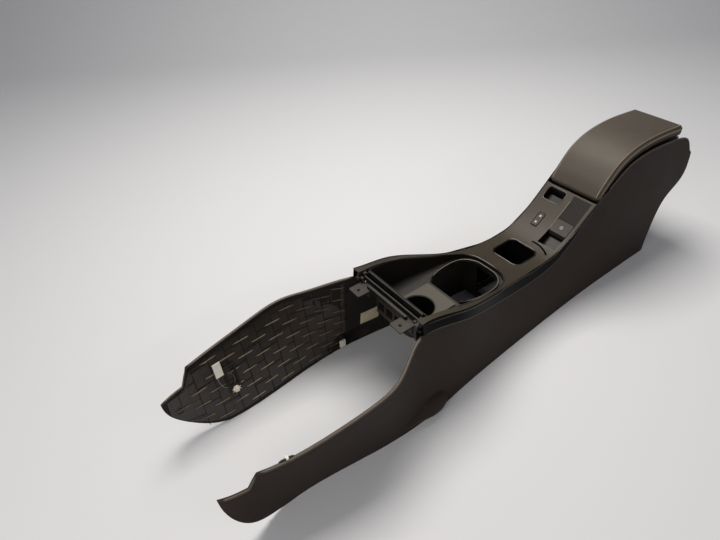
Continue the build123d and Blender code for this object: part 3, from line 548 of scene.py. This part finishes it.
# %% [markdown]
# Two rows of stitches run beside the seam, one on the top panel and one on the side. Each stitch is a small
# bead, a spheroid that is pulled long in the direction of the seam and lies half in the leather. A bead has
# only a few dozen faces, because there are hundreds of them.

# %% Stitches
STITCH_PITCH = 4.6 * MM
STITCH_LENGTH = 3.4 * MM
STITCH_RADIUS = 0.7 * MM
STITCH_LIFT = 0.3 * MM
STITCH_ANGLES = (math.radians(14), math.radians(76))
FRONT_MARGIN, REAR_MARGIN = 11 * MM, 10 * MM


def bead(turns=8, rings=5):
    """Points and faces of a unit spheroid: rings of points between two poles."""
    tilt = np.linspace(0, math.pi, rings + 2)[1:-1]
    turn = np.linspace(0, 2 * math.pi, turns, endpoint=False)
    tilt, turn = np.meshgrid(tilt, turn, indexing="ij")
    ring = np.stack([np.cos(tilt), np.sin(tilt) * np.cos(turn), np.sin(tilt) * np.sin(turn)], -1)
    ring = ring.reshape(-1, 3)
    points = np.concatenate([ring, [(1, 0, 0), (-1, 0, 0)]])
    quads = grid_faces(rings, turns, close_columns=True).tolist()
    last_ring = (rings - 1) * turns
    first = [(len(ring), (i + 1) % turns, i) for i in range(turns)]
    last = [(len(ring) + 1, last_ring + i, last_ring + (i + 1) % turns) for i in range(turns)]
    return points, quads + first + last


bead_points, bead_faces = bead()
rows = []
starts = np.arange(-axis_length / 2 + FRONT_MARGIN, axis_length / 2 - REAR_MARGIN, STITCH_PITCH)
for side in (-1, 1):
    for angle in STITCH_ANGLES:
        y = side * (CUSHION_HALF_WIDTH - CUSHION_EDGE + (CUSHION_EDGE + STITCH_LIFT) * math.cos(angle))
        z = CUSHION_HALF_HEIGHT - CUSHION_EDGE + (CUSHION_EDGE + STITCH_LIFT) * math.sin(angle)
        middles = np.stack([starts, np.full(len(starts), y), np.full(len(starts), z)], 1)
        sizes = (STITCH_LENGTH / 2, STITCH_RADIUS, STITCH_RADIUS)
        rows.append((bead_points[None] * sizes + middles[:, None]).reshape(-1, 3))
stitch_points = bend(np.concatenate(rows))
stitch_count = len(stitch_points) // len(bead_points)
stitch_faces = [[index + bead_index * len(bead_points) for index in face]
                for bead_index in range(stitch_count) for face in bead_faces]
stitches = mesh_object("armrest_stitches", stitch_points, stitch_faces)
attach(stitches, "lid")
print("stitches", stitch_count)

# %% [markdown]
# Leather has a pebbled grain of cells with rounded tops, fine creases between them, and a faint mottling of
# colour. The grain group gives the pebbles, and its pits darken the creases. The thread is much lighter
# than the leather.

# %% Leather and thread finishes
LEATHER_LOW, LEATHER_HIGH, LEATHER_CREASE = srgb(66, 58, 48), srgb(82, 72, 60), srgb(48, 42, 35)
PEBBLE_SCALE = 620.0

leather, leather_tree, leather_shader = principled("leather")
leather_place = node(leather_tree, "ShaderNodeTexCoord").outputs["Object"]
pebbles = node(leather_tree, "ShaderNodeGroup", node_tree=grain_tree)
leather_tree.links.new(leather_place, pebbles.inputs["Vector"])
pebbles.inputs["Scale"].default_value = PEBBLE_SCALE
mottle = node(leather_tree, "ShaderNodeTexNoise",
              {"Vector": leather_place, "Scale": 38.0, "Detail": 5.0, "Roughness": 0.6})
leather_tone = mixed(leather_tree, mottle.outputs["Fac"], (*LEATHER_LOW, 1), (*LEATHER_HIGH, 1))
leather_tree.links.new(mixed(leather_tree, pebbles.outputs["Pits"], leather_tone, (*LEATHER_CREASE, 1)),
                       leather_shader.inputs["Base Color"])
leather_sheen = node(leather_tree, "ShaderNodeMapRange",
                     {"Value": mottle.outputs["Fac"], "To Min": 0.42, "To Max": 0.58})
leather_tree.links.new(leather_sheen.outputs["Result"], leather_shader.inputs["Roughness"])
leather_bump = node(leather_tree, "ShaderNodeBump",
                    {"Height": pebbles.outputs["Height"], "Distance": 0.00018, "Strength": 0.8})
leather_tree.links.new(leather_bump.outputs["Normal"], leather_shader.inputs["Normal"])
cushion.data.materials.append(leather)
thread = plastic("thread", srgb(198, 182, 156), srgb(176, 162, 140), 0.6, 0.7, 2600, 0.0001)
stitches.data.materials.append(thread)
print("armrest dressed")

# %% [markdown]
# Small trim follows the moulded surfaces, so it needs to know where they are. Reading the mesh's own points
# would give a ragged line, because they are far apart, so rays find the surface instead: level rays meet
# the side panels, falling rays meet the top of a piece, and a panel's edge is found by halving the span
# between a level ray that meets the panel and one that misses it.

# %% Rays onto the frame
RAY_OUT = 0.3
RAY_ABOVE = 400.0
EDGE_LOW, EDGE_HIGH = 60.0, 340.0
HALVINGS = 12


def tree_of(name):
    """A search tree over the faces of a node."""
    mesh = nodes[name].data
    flat = np.empty(len(mesh.vertices) * 3)
    mesh.vertices.foreach_get("co", flat)
    return BVHTree.FromPolygons(flat.reshape(-1, 3).tolist(), [list(face.vertices) for face in mesh.polygons])


panel_trees = {-1: tree_of("side_panel_left"), 1: tree_of("side_panel_right")}


def wall_at(side, station, height, outside=True):
    """Where a level sideways ray meets a panel, from outside or from the middle: a point, or None."""
    start = Vector((at(station), side * RAY_OUT if outside else 0.0, height * MM))
    return panel_trees[side].ray_cast(start, Vector((0, -side if outside else side, 0)))[0]


def drop(tree, station, y):
    """Where a falling ray meets a tree's surface: a point, or None."""
    return tree.ray_cast(Vector((at(station), y * MM, RAY_ABOVE * MM)), Vector((0, 0, -1)))[0]


def edge_height(side, station):
    """Height of a panel's top edge at a station: halving the span between a level ray that meets it and one
    that passes over it."""
    low, high = EDGE_LOW, EDGE_HIGH
    for _ in range(HALVINGS):
        middle = (low + high) / 2
        low, high = (low, middle) if wall_at(side, station, middle) is None else (middle, high)
    return low


def top_edge(side, first, last, step=6.0, sink=0.4):
    """Points along the outer top edge of a panel, a little under its height."""
    stations = np.linspace(first, last, int((last - first) / step) + 1)
    return np.array([wall_at(side, station, edge_height(side, station) - sink) for station in stations])


print("top edge at station 300 is", round(edge_height(1, 300), 1), "mm up")

# %% [markdown]
# Rolled edges, lips, beads and wires are all tubes: a section that is carried along a path. A bevelled
# curve object could do the same, but here the section stays upright on a path that climbs, and the mesh is
# ready to be joined with others into one piece.

# %% Tubes and joined pieces
TIP_SHARE = 0.08


def tube(path, sideways, upright, turns=10, taper=2, closed=False):
    """Points and faces of a tube along a path. Its section is an ellipse that stands square on the path in
    plan: the first half axis lies level, the second points up, and open ends draw in over a few rings."""
    path = np.asarray(path, dtype=float)
    along = np.gradient(path, axis=0)
    if closed:
        along = np.roll(path, -1, axis=0) - np.roll(path, 1, axis=0)
    flat_along = along[:, :2] / np.maximum(np.linalg.norm(along[:, :2], axis=1), TINY)[:, None]
    level = np.stack([-flat_along[:, 1], flat_along[:, 0], np.zeros(len(path))], 1)
    up_way = np.cross(along / np.linalg.norm(along, axis=1)[:, None], level)
    turn = np.linspace(0, 2 * math.pi, turns, endpoint=False)
    size = np.ones(len(path))
    if not closed:
        ends = np.minimum(np.arange(len(path)), np.arange(len(path))[::-1])
        size = np.sqrt(np.clip((ends + TIP_SHARE) / taper, 0.0, 1.0))
    level_part = level[:, None] * (sideways * np.cos(turn))[None, :, None]
    upright_part = up_way[:, None] * (upright * np.sin(turn))[None, :, None]
    points = path[:, None] + (level_part + upright_part) * size[:, None, None]
    return points.reshape(-1, 3), grid_faces(len(path), turns, close_rows=closed, close_columns=True)


def joined(name, parts, material, body="console"):
    """One piece from several sets of points and faces, with its finish and its body."""
    points, faces, base = [], [], 0
    for some_points, some_faces in parts:
        points.append(np.asarray(some_points))
        faces += [[index + base for index in face] for face in some_faces]
        base += len(some_points)
    made = mesh_object(name, np.concatenate(points), faces)
    made.data.materials.append(material)
    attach(made, body)
    print(name, len(made.data.vertices), "points")


print("tubes ready")

# %% [markdown]
# The moulding's edges are rolled, and that is where light catches them: a wide soft roll on top of the
# wings, and a narrow one under the gloss strip and round the armrest. Each roll is a flat tube on the
# panel's own top edge, moved inward and down so that it stays within the moulding. The rolls are coloured
# lighter than the panel skin: a painted highlight for the light they catch.

# %% Rolled edges
# First and last station, step, how far the roll's middle lies inward and down, its two half axes
WING_ROLL = (69, 441, 6.0, 2.7, 0.8, 3.3, 2.1)
TIP_ROLL = (5, 66, 3.0, 2.0, 0.8, 2.4, 1.7)
UPPER_ROLL = (446, 1350, 6.0, 1.3, 1.0, 1.9, 1.7)
# Both roll finishes are lighter than the panel skin: a painted highlight along the rolled edges.
rim_painted_highlight = plastic("rim_painted_highlight", srgb(72, 63, 54), srgb(88, 77, 66), 0.42, 0.52, 850, 0.0001)
edge_painted_highlight = plastic("edge_painted_highlight", srgb(50, 42, 37), srgb(60, 51, 45), 0.42, 0.52, 850, 0.0001)


def roll(side, first, last, step, inward, down, level, upright):
    """Points and faces of a tube along a panel's top edge, with its middle moved inward and down."""
    middle = top_edge(side, first, last, step) - np.array([0, side * inward, down]) * MM
    return tube(middle, level * MM, upright * MM)


joined("wing_rims", [roll(side, *place) for side in (-1, 1) for place in (WING_ROLL, TIP_ROLL)], rim_painted_highlight)
joined("panel_edges", [roll(side, *UPPER_ROLL) for side in (-1, 1)], edge_painted_highlight)

# %% [markdown]
# Inside the wings stands brickwork: upright ribs at an even pitch, with short level ribs between them that
# step up and down by half a course. A bump could only suggest it, and the ribs have to catch the light, so
# they are real. First the plain inner wall between the frame's own ribs is measured with level rays.

# %% Measure the inner wall
LINING_FRONT, LINING_END = 8.0, 430.0
LINING_STATIONS, LINING_ROWS = 86, 28
LINING_LIP, LINING_RIM = 3.0, 7.0
WALL_PROBE = 4
NEAREST_WALL = 0.06
LOW_START, LOW_END = 0.5, 90.0


def plain_wall(side, station, height):
    """Distance of the plain inner wall from the middle, in metres: the widest of a few level rays, so that a
    rib of the frame that one of them meets doesn't count."""
    probes = ((WALL_PROBE, WALL_PROBE), (-WALL_PROBE, -WALL_PROBE), (WALL_PROBE, -WALL_PROBE),
              (-WALL_PROBE, WALL_PROBE))
    hits = [wall_at(side, station + a, height + b, outside=False) for a, b in probes]
    return max((abs(hit.y) for hit in hits if hit is not None and abs(hit.y) > NEAREST_WALL), default=0.0)


def low_edge(side, station):
    """Height of a panel's lower edge at a station, found by halving as for the top edge."""
    low, high = 0.0, LOW_END
    if wall_at(side, station, LOW_START) is not None:
        return 0.0
    for _ in range(HALVINGS):
        middle = (low + high) / 2
        low, high = (middle, high) if wall_at(side, station, middle) is None else (low, middle)
    return high


stations = np.linspace(LINING_FRONT, LINING_END, LINING_STATIONS)


def wall_grid(side):
    """Lower and upper line of a panel's lining, and a grid of heights and wall distances between them: each
    height is the lower line plus a share of the span, and a ray that finds no wall takes the median."""
    floor_line = np.array([low_edge(side, station) + LINING_LIP for station in stations])
    roof_line = np.array([edge_height(side, station) - LINING_RIM for station in stations])
    rise = np.linspace(0, 1, LINING_ROWS)[None, :]
    heights = floor_line[:, None] + rise * (roof_line - floor_line)[:, None]
    wall = np.array([[plain_wall(side, station, height) for height in row]
                     for station, row in zip(stations, heights)])
    return floor_line, roof_line, heights, np.where(wall > 0, wall, np.median(wall[wall > 0]))


wall_grids = {side: wall_grid(side) for side in (-1, 1)}
print("inner wall is", round(float(np.median(wall_grids[1][3])), 4), "m from the middle")

# %% [markdown]
# A thin lining follows the wall, with its border sunk into it, and the rounded crests of the ribs lie on the
# lining, so that light from above draws each course. The crests are coloured far lighter than the lining:
# a painted highlight for their lit tops.

# %% Brickwork lining
RIB_FRONT, RIB_PITCH, RIB_COURSE = 18.0, 38.0, 35.0
LINING_RISE, BORDER_SINK = 1.7, 0.3
UPRIGHT_RADIUS = 0.8
CREST_LEVEL, CREST_UPRIGHT = 2.4, 1.0
UPRIGHT_POINTS, CREST_POINTS = 16, 7
RIB_MARGIN, CREST_MARGIN = 2, 4
lining_finish = plastic("lining_finish", srgb(34, 29, 25), srgb(46, 39, 32), 0.36, 0.5, 1100, 0.00004)
# The crests' pale colour is a painted highlight: the lit tops of the ribs.
crest_painted_highlight = plastic("crest_painted_highlight", srgb(96, 84, 68), srgb(120, 106, 88), 0.34, 0.45, 1100, 0.00004)


def on_lining(side, station, height):
    """A point on a side's lining, between the sampled ones: the wall's distance is read in the columns before
    and after the station and mixed by how far it lies between them, less the lining's thickness."""
    _, _, heights, wall = wall_grids[side]
    column = np.interp(station, stations, np.arange(len(stations)))
    before, share = int(column), column - int(column)
    after = min(before + 1, len(stations) - 1)
    y = [np.interp(height, heights[place], wall[place]) for place in (before, after)]
    return at(station), side * (y[0] * (1 - share) + y[1] * share - LINING_RISE * MM), height * MM


linings, crests, uprights = [], [], []
for side, (floor_line, roof_line, heights, wall) in wall_grids.items():
    lift = np.full(wall.shape, LINING_RISE * MM)
    lift[[0, -1], :] = -BORDER_SINK * MM
    lift[:, [0, -1]] = -BORDER_SINK * MM
    surface = np.stack([np.broadcast_to(at(stations)[:, None], wall.shape), side * (wall - lift),
                        heights * MM], 2)
    linings.append((surface.reshape(-1, 3), grid_faces(*wall.shape)))
    for column, station in enumerate(np.arange(RIB_FRONT, LINING_END - RIB_MARGIN, RIB_PITCH)):
        low = np.interp(station, stations, floor_line) + RIB_MARGIN
        high = np.interp(station, stations, roof_line) - RIB_MARGIN
        upright = [on_lining(side, station, height) for height in np.linspace(low, high, UPRIGHT_POINTS)]
        uprights.append(tube(upright, UPRIGHT_RADIUS * MM, UPRIGHT_RADIUS * MM, turns=8, taper=1))
        last = min(station + RIB_PITCH, LINING_END - CREST_MARGIN)
        low = max(low, np.interp(last, stations, floor_line))
        high = min(high, np.interp(last, stations, roof_line))
        lowest = RIB_COURSE * (0.5 + (column % 2) / 2)
        for height in np.arange(lowest, high - CREST_MARGIN, RIB_COURSE):
            if height > low + RIB_MARGIN:
                short = [on_lining(side, place, height) for place in np.linspace(station, last, CREST_POINTS)]
                crests.append(tube(short, CREST_LEVEL * MM, CREST_UPRIGHT * MM, turns=8, taper=1))
joined("wing_lining", linings + uprights, lining_finish)
joined("wing_ribs", crests, crest_painted_highlight)

# %% [markdown]
# Where the bezel is cut open its edge turns down in a narrow lip, and these shining lips are what the eye
# finds first in the picture. The frame's own edge isn't bevelled, because its mesh is left alone, so each
# lip is a tube that follows an outline in plan and drops onto the bezel.

# %% Bezel lips
bezel_tree = tree_of("top_bezel")
lip_finish = plastic("lip_finish", srgb(18, 16, 13), srgb(26, 23, 19), 0.12, 0.2, 1500, 0.000004, gloss=0.8)
OPENING_SIDE = ((474, 91.5), (520, 93.5), (562, 95), (612, 91), (660, 83), (700, 73), (722, 61), (737, 42),
                (742, 20), (743, 0))
# Front, rear, left and right edge of an opening, its corner radius, and how far the lip stands outside it
CUBBY_RIM = (787, 859, -39, 39, 15, 1.6)
FINGER_RIM = (974, 1000, 7, 55, 6, 1.2)
BRAKE_EDGE = [(885, y) for y in np.linspace(-60, -14, 14)]
LOOP_POINTS = 64


def rounded_loop(front, rear, low, high, corner, grow):
    """Stations and sideways places round a rounded rectangle that is grown outward: a circle whose four
    quarters are pushed apart to the corners."""
    turn = np.linspace(0, 2 * math.pi, LOOP_POINTS, endpoint=False)
    reach_x, reach_y = (rear - front) / 2 - corner, (high - low) / 2 - corner
    x = (front + rear) / 2 + np.sign(np.cos(turn)) * reach_x + (corner + grow) * np.cos(turn)
    y = (low + high) / 2 + np.sign(np.sin(turn)) * reach_y + (corner + grow) * np.sin(turn)
    return np.stack([x, y], 1)


def both_sides(points, count):
    """Stations and sideways places of a smooth curve on the right, carried on along its mirror image."""
    half = smooth_line(points, count)
    half = np.stack([station_of(half[:, 0]), half[:, 1] / MM], 1)
    return np.concatenate([half, half[-2::-1] * (1, -1)])


def laid(tree, outline, lift):
    """Points of a plan outline dropped onto a surface and raised a little; places with no surface are left
    out."""
    met = [drop(tree, station, y) for station, y in outline]
    return np.array([(at(station), y * MM, hit.z + lift * MM) for (station, y), hit in zip(outline, met)
                     if hit is not None])


def laid_tube(tree, outline, lift, level, upright, closed=False):
    """A tube on a surface, along a plan outline, with its two half axes in millimetres."""
    return tube(laid(tree, outline, lift), level * MM, upright * MM, closed=closed)


# Outline of each lip, how far its middle stands above the bezel, its two half axes, and whether it closes
LIPS = ((both_sides(OPENING_SIDE, 60), -0.2, 1.5, 1.2, False),
        (rounded_loop(*CUBBY_RIM), -0.2, 1.5, 1.1, True),
        (rounded_loop(*FINGER_RIM), -0.2, 1.1, 0.9, True),
        (BRAKE_EDGE, -0.3, 0.8, 0.8, False))
joined("bezel_lips", [laid_tube(bezel_tree, *lip) for lip in LIPS], lip_finish)

# %% [markdown]
# Two painted highlights stand out against the dark deck as pale glossy lines: one on the rail round the
# lever opening, and one along the edge of the channel in the switch field.

# %% Painted highlight lines
rail_tree = tree_of("lever_rail")
# The pale colour is a painted highlight on the edges of the rail and of the channel, not their own colour.
painted_highlight_line = plastic("painted_highlight_line", srgb(150, 140, 124), srgb(120, 112, 98), 0.16, 0.3, 1500, 0.00001,
                      gloss=0.8)
RAIL_SIDE = ((603, 41), (614, 50), (630, 57.5), (650, 61.5), (672, 62.5), (692, 61), (708, 56), (720, 46),
             (728, 33), (732, 16), (733, 0))
CHANNEL_EDGE = [(place, -12.2) for place in np.linspace(926, 992, 24)]
# How far each line's middle stands above its surface, and its two half axes
CHANNEL_TUBE, RAIL_TUBE = (0.1, 0.55, 0.5), (0.1, 0.6, 0.6)

joined("painted_highlight_lines", [laid_tube(bezel_tree, CHANNEL_EDGE, *CHANNEL_TUBE),
                        laid_tube(rail_tree, both_sides(RAIL_SIDE, 70), *RAIL_TUBE)], painted_highlight_line)

# %% [markdown]
# A gloss strip catches a narrow highlight along its upper edge, and a polished bead draws it. Level rays
# along the line of the strip's top find the bead's place on each side.

# %% Beads on the gloss strips
strip_trees = {-1: tree_of("trim_strip_left"), 1: tree_of("trim_strip_right")}
STRIP_STATIONS = (445, 530, 668, 805, 880, 952, 1049)
STRIP_HEIGHTS = (238, 222, 177, 157, 164, 203, 278)
BEAD_FRONT, BEAD_REAR, BEAD_POINTS = 452, 1036, 120
BEAD_INSET, BEAD_LEVEL, BEAD_UPRIGHT = 0.5, 1.0, 1.1


def strip_edge(side):
    """Points where level rays from outside meet a strip along the line of its top, a little inside it."""
    places = np.linspace(BEAD_FRONT, BEAD_REAR, BEAD_POINTS)
    heights = np.interp(places, STRIP_STATIONS, STRIP_HEIGHTS)
    met = [strip_trees[side].ray_cast(Vector((at(place), side * RAY_OUT, height * MM)),
                                      Vector((0, -side, 0)))[0] for place, height in zip(places, heights)]
    return [(hit.x, hit.y - side * BEAD_INSET * MM, hit.z) for hit in met if hit is not None]


joined("strip_beads", [tube(strip_edge(side), BEAD_LEVEL * MM, BEAD_UPRIGHT * MM, taper=6)
                       for side in (-1, 1)], lip_finish)

# %% [markdown]
# The switches carry plain marks: two small white tabs on the rocker, and a ring with a dot on the brake
# switch. A fine light line frames the rocker. They are thin raised shapes and not paint, so that they stay
# sharp at every distance, and each rides on the body of its switch.

# %% Switch marks
mark_white = plastic("mark_white", srgb(196, 192, 182), srgb(184, 180, 168), 0.4, 0.5, 1500, 0.00001)
frame_line = plastic("frame_line", srgb(96, 90, 80), srgb(84, 78, 70), 0.3, 0.4, 1500, 0.00001)
rocker_tree, brake_tree = tree_of("rocker_switch"), tree_of("brake_switch")
ROCKER_TABS, ROCKER_Y, TAB_HALF = (922.5, 937.5), 26, (2.1, 2.6)
ROCKER_FRAME = (913.4, 946.6, 16.4, 35.6, 2.5, 0.7)
BRAKE_CENTRE, BRAKE_RING, BRAKE_DOT, RING_POINTS = (936, -37), 3.4, (1.2, 1.2), 28
# How far each line's middle stands above its surface, and its two half axes
FRAME_TUBE, RING_TUBE = (0.05, 0.45, 0.4), (0.1, 0.42, 0.35)
PAD_LIFT, PAD_CORNER = 0.35, 0.4


def circle(centre, radius, count):
    """Places round a circle in plan, or on a wall."""
    return [(centre[0] + radius * math.cos(turn), centre[1] + radius * math.sin(turn))
            for turn in np.linspace(0, 2 * math.pi, count, endpoint=False)]


def pad(tree, station, y, half_length, half_width):
    """Points and faces of a small rounded tab that lies on a surface: a rim, the same rim a millimetre down,
    the wall between them and two flat faces."""
    outline = rounded_loop(station - half_length, station + half_length, y - half_width, y + half_width,
                           min(half_length, half_width) * PAD_CORNER, 0)
    rim = laid(tree, outline, PAD_LIFT)
    sunk = rim - np.array([0, 0, 1.0]) * MM
    count = len(rim)
    walls = grid_faces(2, count, close_columns=True).tolist()
    flats = [list(range(count)), list(range(2 * count - 1, count - 1, -1))]
    return np.concatenate([rim, sunk]), walls + flats


joined("rocker_marks", [pad(rocker_tree, station, ROCKER_Y, *TAB_HALF) for station in ROCKER_TABS],
       mark_white, "rocker")
joined("rocker_line", [laid_tube(bezel_tree, rounded_loop(*ROCKER_FRAME), *FRAME_TUBE, closed=True)],
       frame_line)
brake_ring = laid_tube(brake_tree, circle(BRAKE_CENTRE, BRAKE_RING, RING_POINTS), *RING_TUBE, closed=True)
joined("brake_mark", [brake_ring, pad(brake_tree, *BRAKE_CENTRE, *BRAKE_DOT)], mark_white, "brake_switch")

# %% [markdown]
# Clips and wires sit where the fixings of the real moulding sit, and none of them carries a word. The clips
# are squared-off ellipsoids, which are rounder than cubes and take one formula, and the wires are thin
# tubes along the wall.

# %% Clips, wires and bosses
WIRE_RADIUS = 0.6 * MM
WIRE_POINTS, WIRE_OFF = 24, 4.6
# Stations and heights that the two wires above each push clip pass through
WIRE_ROUTES = (((118, 112), (119, 98), (126, 82), (141, 74)), ((131, 120), (147, 104), (151, 88), (147, 76)))
CLIP_STATION, CLIP_HEIGHT, CLIP_OFF = 147, 68, 9.5
SPOKE_ANGLES, SPOKE_REACH, SPOKE_RADIUS = (0.4, 1.2, 2.0, 2.8), 10.5, 1.5
# Station, distance from the middle, height and half sizes of the small clips at the bezel's front corners
CORNER_CLIPS = ((444, 92, 226, (4, 5, 4)), (451, 97, 229, (5, 3.5, 5)), (458, 88, 233, (4, 4, 3.5)),
                (447, 83, 229, (3, 4, 3)), (464, 95, 232, (3, 4, 5)))
# Stations and heights of the round bosses on the lining
BOSSES = ((228, 170), (370, 136), (30, 84))
BOSS_REACH, BOSS_RADIUS, BOSS_OFF, BOSS_POINTS = 7, 0.9, 0.4, 24
POLE_GAP = 0.02


def pebble(centre, half, power=0.45, turns=24, rings=13):
    """Points and faces of an ellipsoid whose cosines and sines are raised to a power, which squares it off
    where the power is below one; small flat caps close its poles."""
    tilt = np.linspace(POLE_GAP, math.pi - POLE_GAP, rings)
    turn = np.linspace(0, 2 * math.pi, turns, endpoint=False)
    tilt, turn = np.meshgrid(tilt, turn, indexing="ij")
    parts = (np.sin(tilt) * np.cos(turn), np.sin(tilt) * np.sin(turn), np.cos(tilt))
    shaped = np.stack([np.sign(part) * np.abs(part) ** power for part in parts], -1).reshape(-1, 3)
    faces = grid_faces(rings, turns, close_columns=True).tolist()
    caps = [list(range(turns))[::-1], list(range((rings - 1) * turns, rings * turns))]
    station, y, height = centre
    return shaped * np.array(half) * MM + (at(station), y * MM, height * MM), faces + caps


def inner_point(side, station, height, off):
    """A point that stands off the plain inner wall, towards the middle."""
    return at(station), side * (plain_wall(side, station, height) - off * MM), height * MM


wires, white_bits, dark_bits = [], [], []
for side in (-1, 1):
    for places in WIRE_ROUTES:
        route = [inner_point(side, station_of(x), z / MM, WIRE_OFF)
                 for x, z in smooth_line(places, WIRE_POINTS)]
        wires.append(tube(route, WIRE_RADIUS, WIRE_RADIUS))
    clip = np.array(inner_point(side, CLIP_STATION, CLIP_HEIGHT, CLIP_OFF))
    for angle in SPOKE_ANGLES:
        reach = np.array([math.cos(angle), 0, math.sin(angle)]) * SPOKE_REACH * MM
        white_bits.append(tube([clip - reach, clip, clip + reach], SPOKE_RADIUS * MM, SPOKE_RADIUS * MM,
                               taper=1))
    dark_bits += [pebble((station, side * y, height), size) for station, y, height, size in CORNER_CLIPS]
    for boss in BOSSES:
        loop = [inner_point(side, a, b, LINING_RISE + BOSS_OFF)
                for a, b in circle(boss, BOSS_REACH, BOSS_POINTS)]
        dark_bits.append(tube(loop, BOSS_RADIUS * MM, BOSS_RADIUS * MM, turns=8, closed=True))
print("small parts", len(wires), len(white_bits), len(dark_bits))

# %% [markdown]
# One more clip stands on the near wing's top edge, on a dark bar of its own. Both follow that edge, so they
# start from its points.

# %% Clip on the near wing
BAR_FRONT, BAR_REAR, BAR_STEP, BAR_SINK = 104, 131, 3.0, 2.0
BAR_SHIFT = np.array([0, 5.5, 3.0]) * MM
BAR_LEVEL, BAR_UPRIGHT = 2.2 * MM, 2.6 * MM
PERCH_SHIFT = np.array([0, 0, 2.0]) * MM
PERCH_HALF = (2.6, 3.4, 3.2)
ARM_DOWN, ARM_UP = np.array([0, 7, -3]) * MM, np.array([0, -5, 1]) * MM
ARM_RADIUS = 1.3 * MM

bar = top_edge(-1, BAR_FRONT, BAR_REAR, BAR_STEP, BAR_SINK) + BAR_SHIFT
dark_bits.append(tube(bar, BAR_LEVEL, BAR_UPRIGHT))
perch = bar[len(bar) // 2] + PERCH_SHIFT
white_bits.append(pebble((station_of(perch[0]), perch[1] / MM, perch[2] / MM), PERCH_HALF))
white_bits.append(tube([perch + ARM_DOWN, perch, perch + ARM_UP], ARM_RADIUS, ARM_RADIUS, taper=1))
joined("clip_wires", wires, plated_steel)
joined("white_clips", white_bits, white_plastic)
joined("dark_clips", dark_bits, dark_grey)

# %% [markdown]
# A slit crosses the half tube at the foot of each panel, and a shallow cap of the same moulding closes the
# tube's rear end. The slit is a thin dark tube that lies in the skin, because the frame isn't cut here: its
# black is painted shade, standing for the dark inside the slit.

# %% Slits and caps of the half tubes
SLIT_STATION, SLIT_LOW, SLIT_HIGH, SLIT_POINTS = 418, 2, 50, 30
SLIT_SINK, SLIT_LEVEL, SLIT_UPRIGHT = 0.15, 0.5, 0.55
CAP_STATION, CAP_Y, CAP_HEIGHT = 490.3, 129.5, 24
CAP_HALF, CAP_POWER = (1.6, 6.8, 13.0), 0.9

slits = []
for side in (-1, 1):
    met = [wall_at(side, SLIT_STATION, height) for height in np.linspace(SLIT_LOW, SLIT_HIGH, SLIT_POINTS)]
    line = [(hit.x, hit.y - side * SLIT_SINK * MM, hit.z) for hit in met if hit is not None]
    slits.append(tube(line, SLIT_LEVEL * MM, SLIT_UPRIGHT * MM))
# The slit's black tube is painted shade for the inside of the cut.
joined("bulge_slits", slits, rubber_black)
joined("bulge_caps", [pebble((CAP_STATION, side * CAP_Y, CAP_HEIGHT), CAP_HALF, CAP_POWER)
                      for side in (-1, 1)], panel_skin)
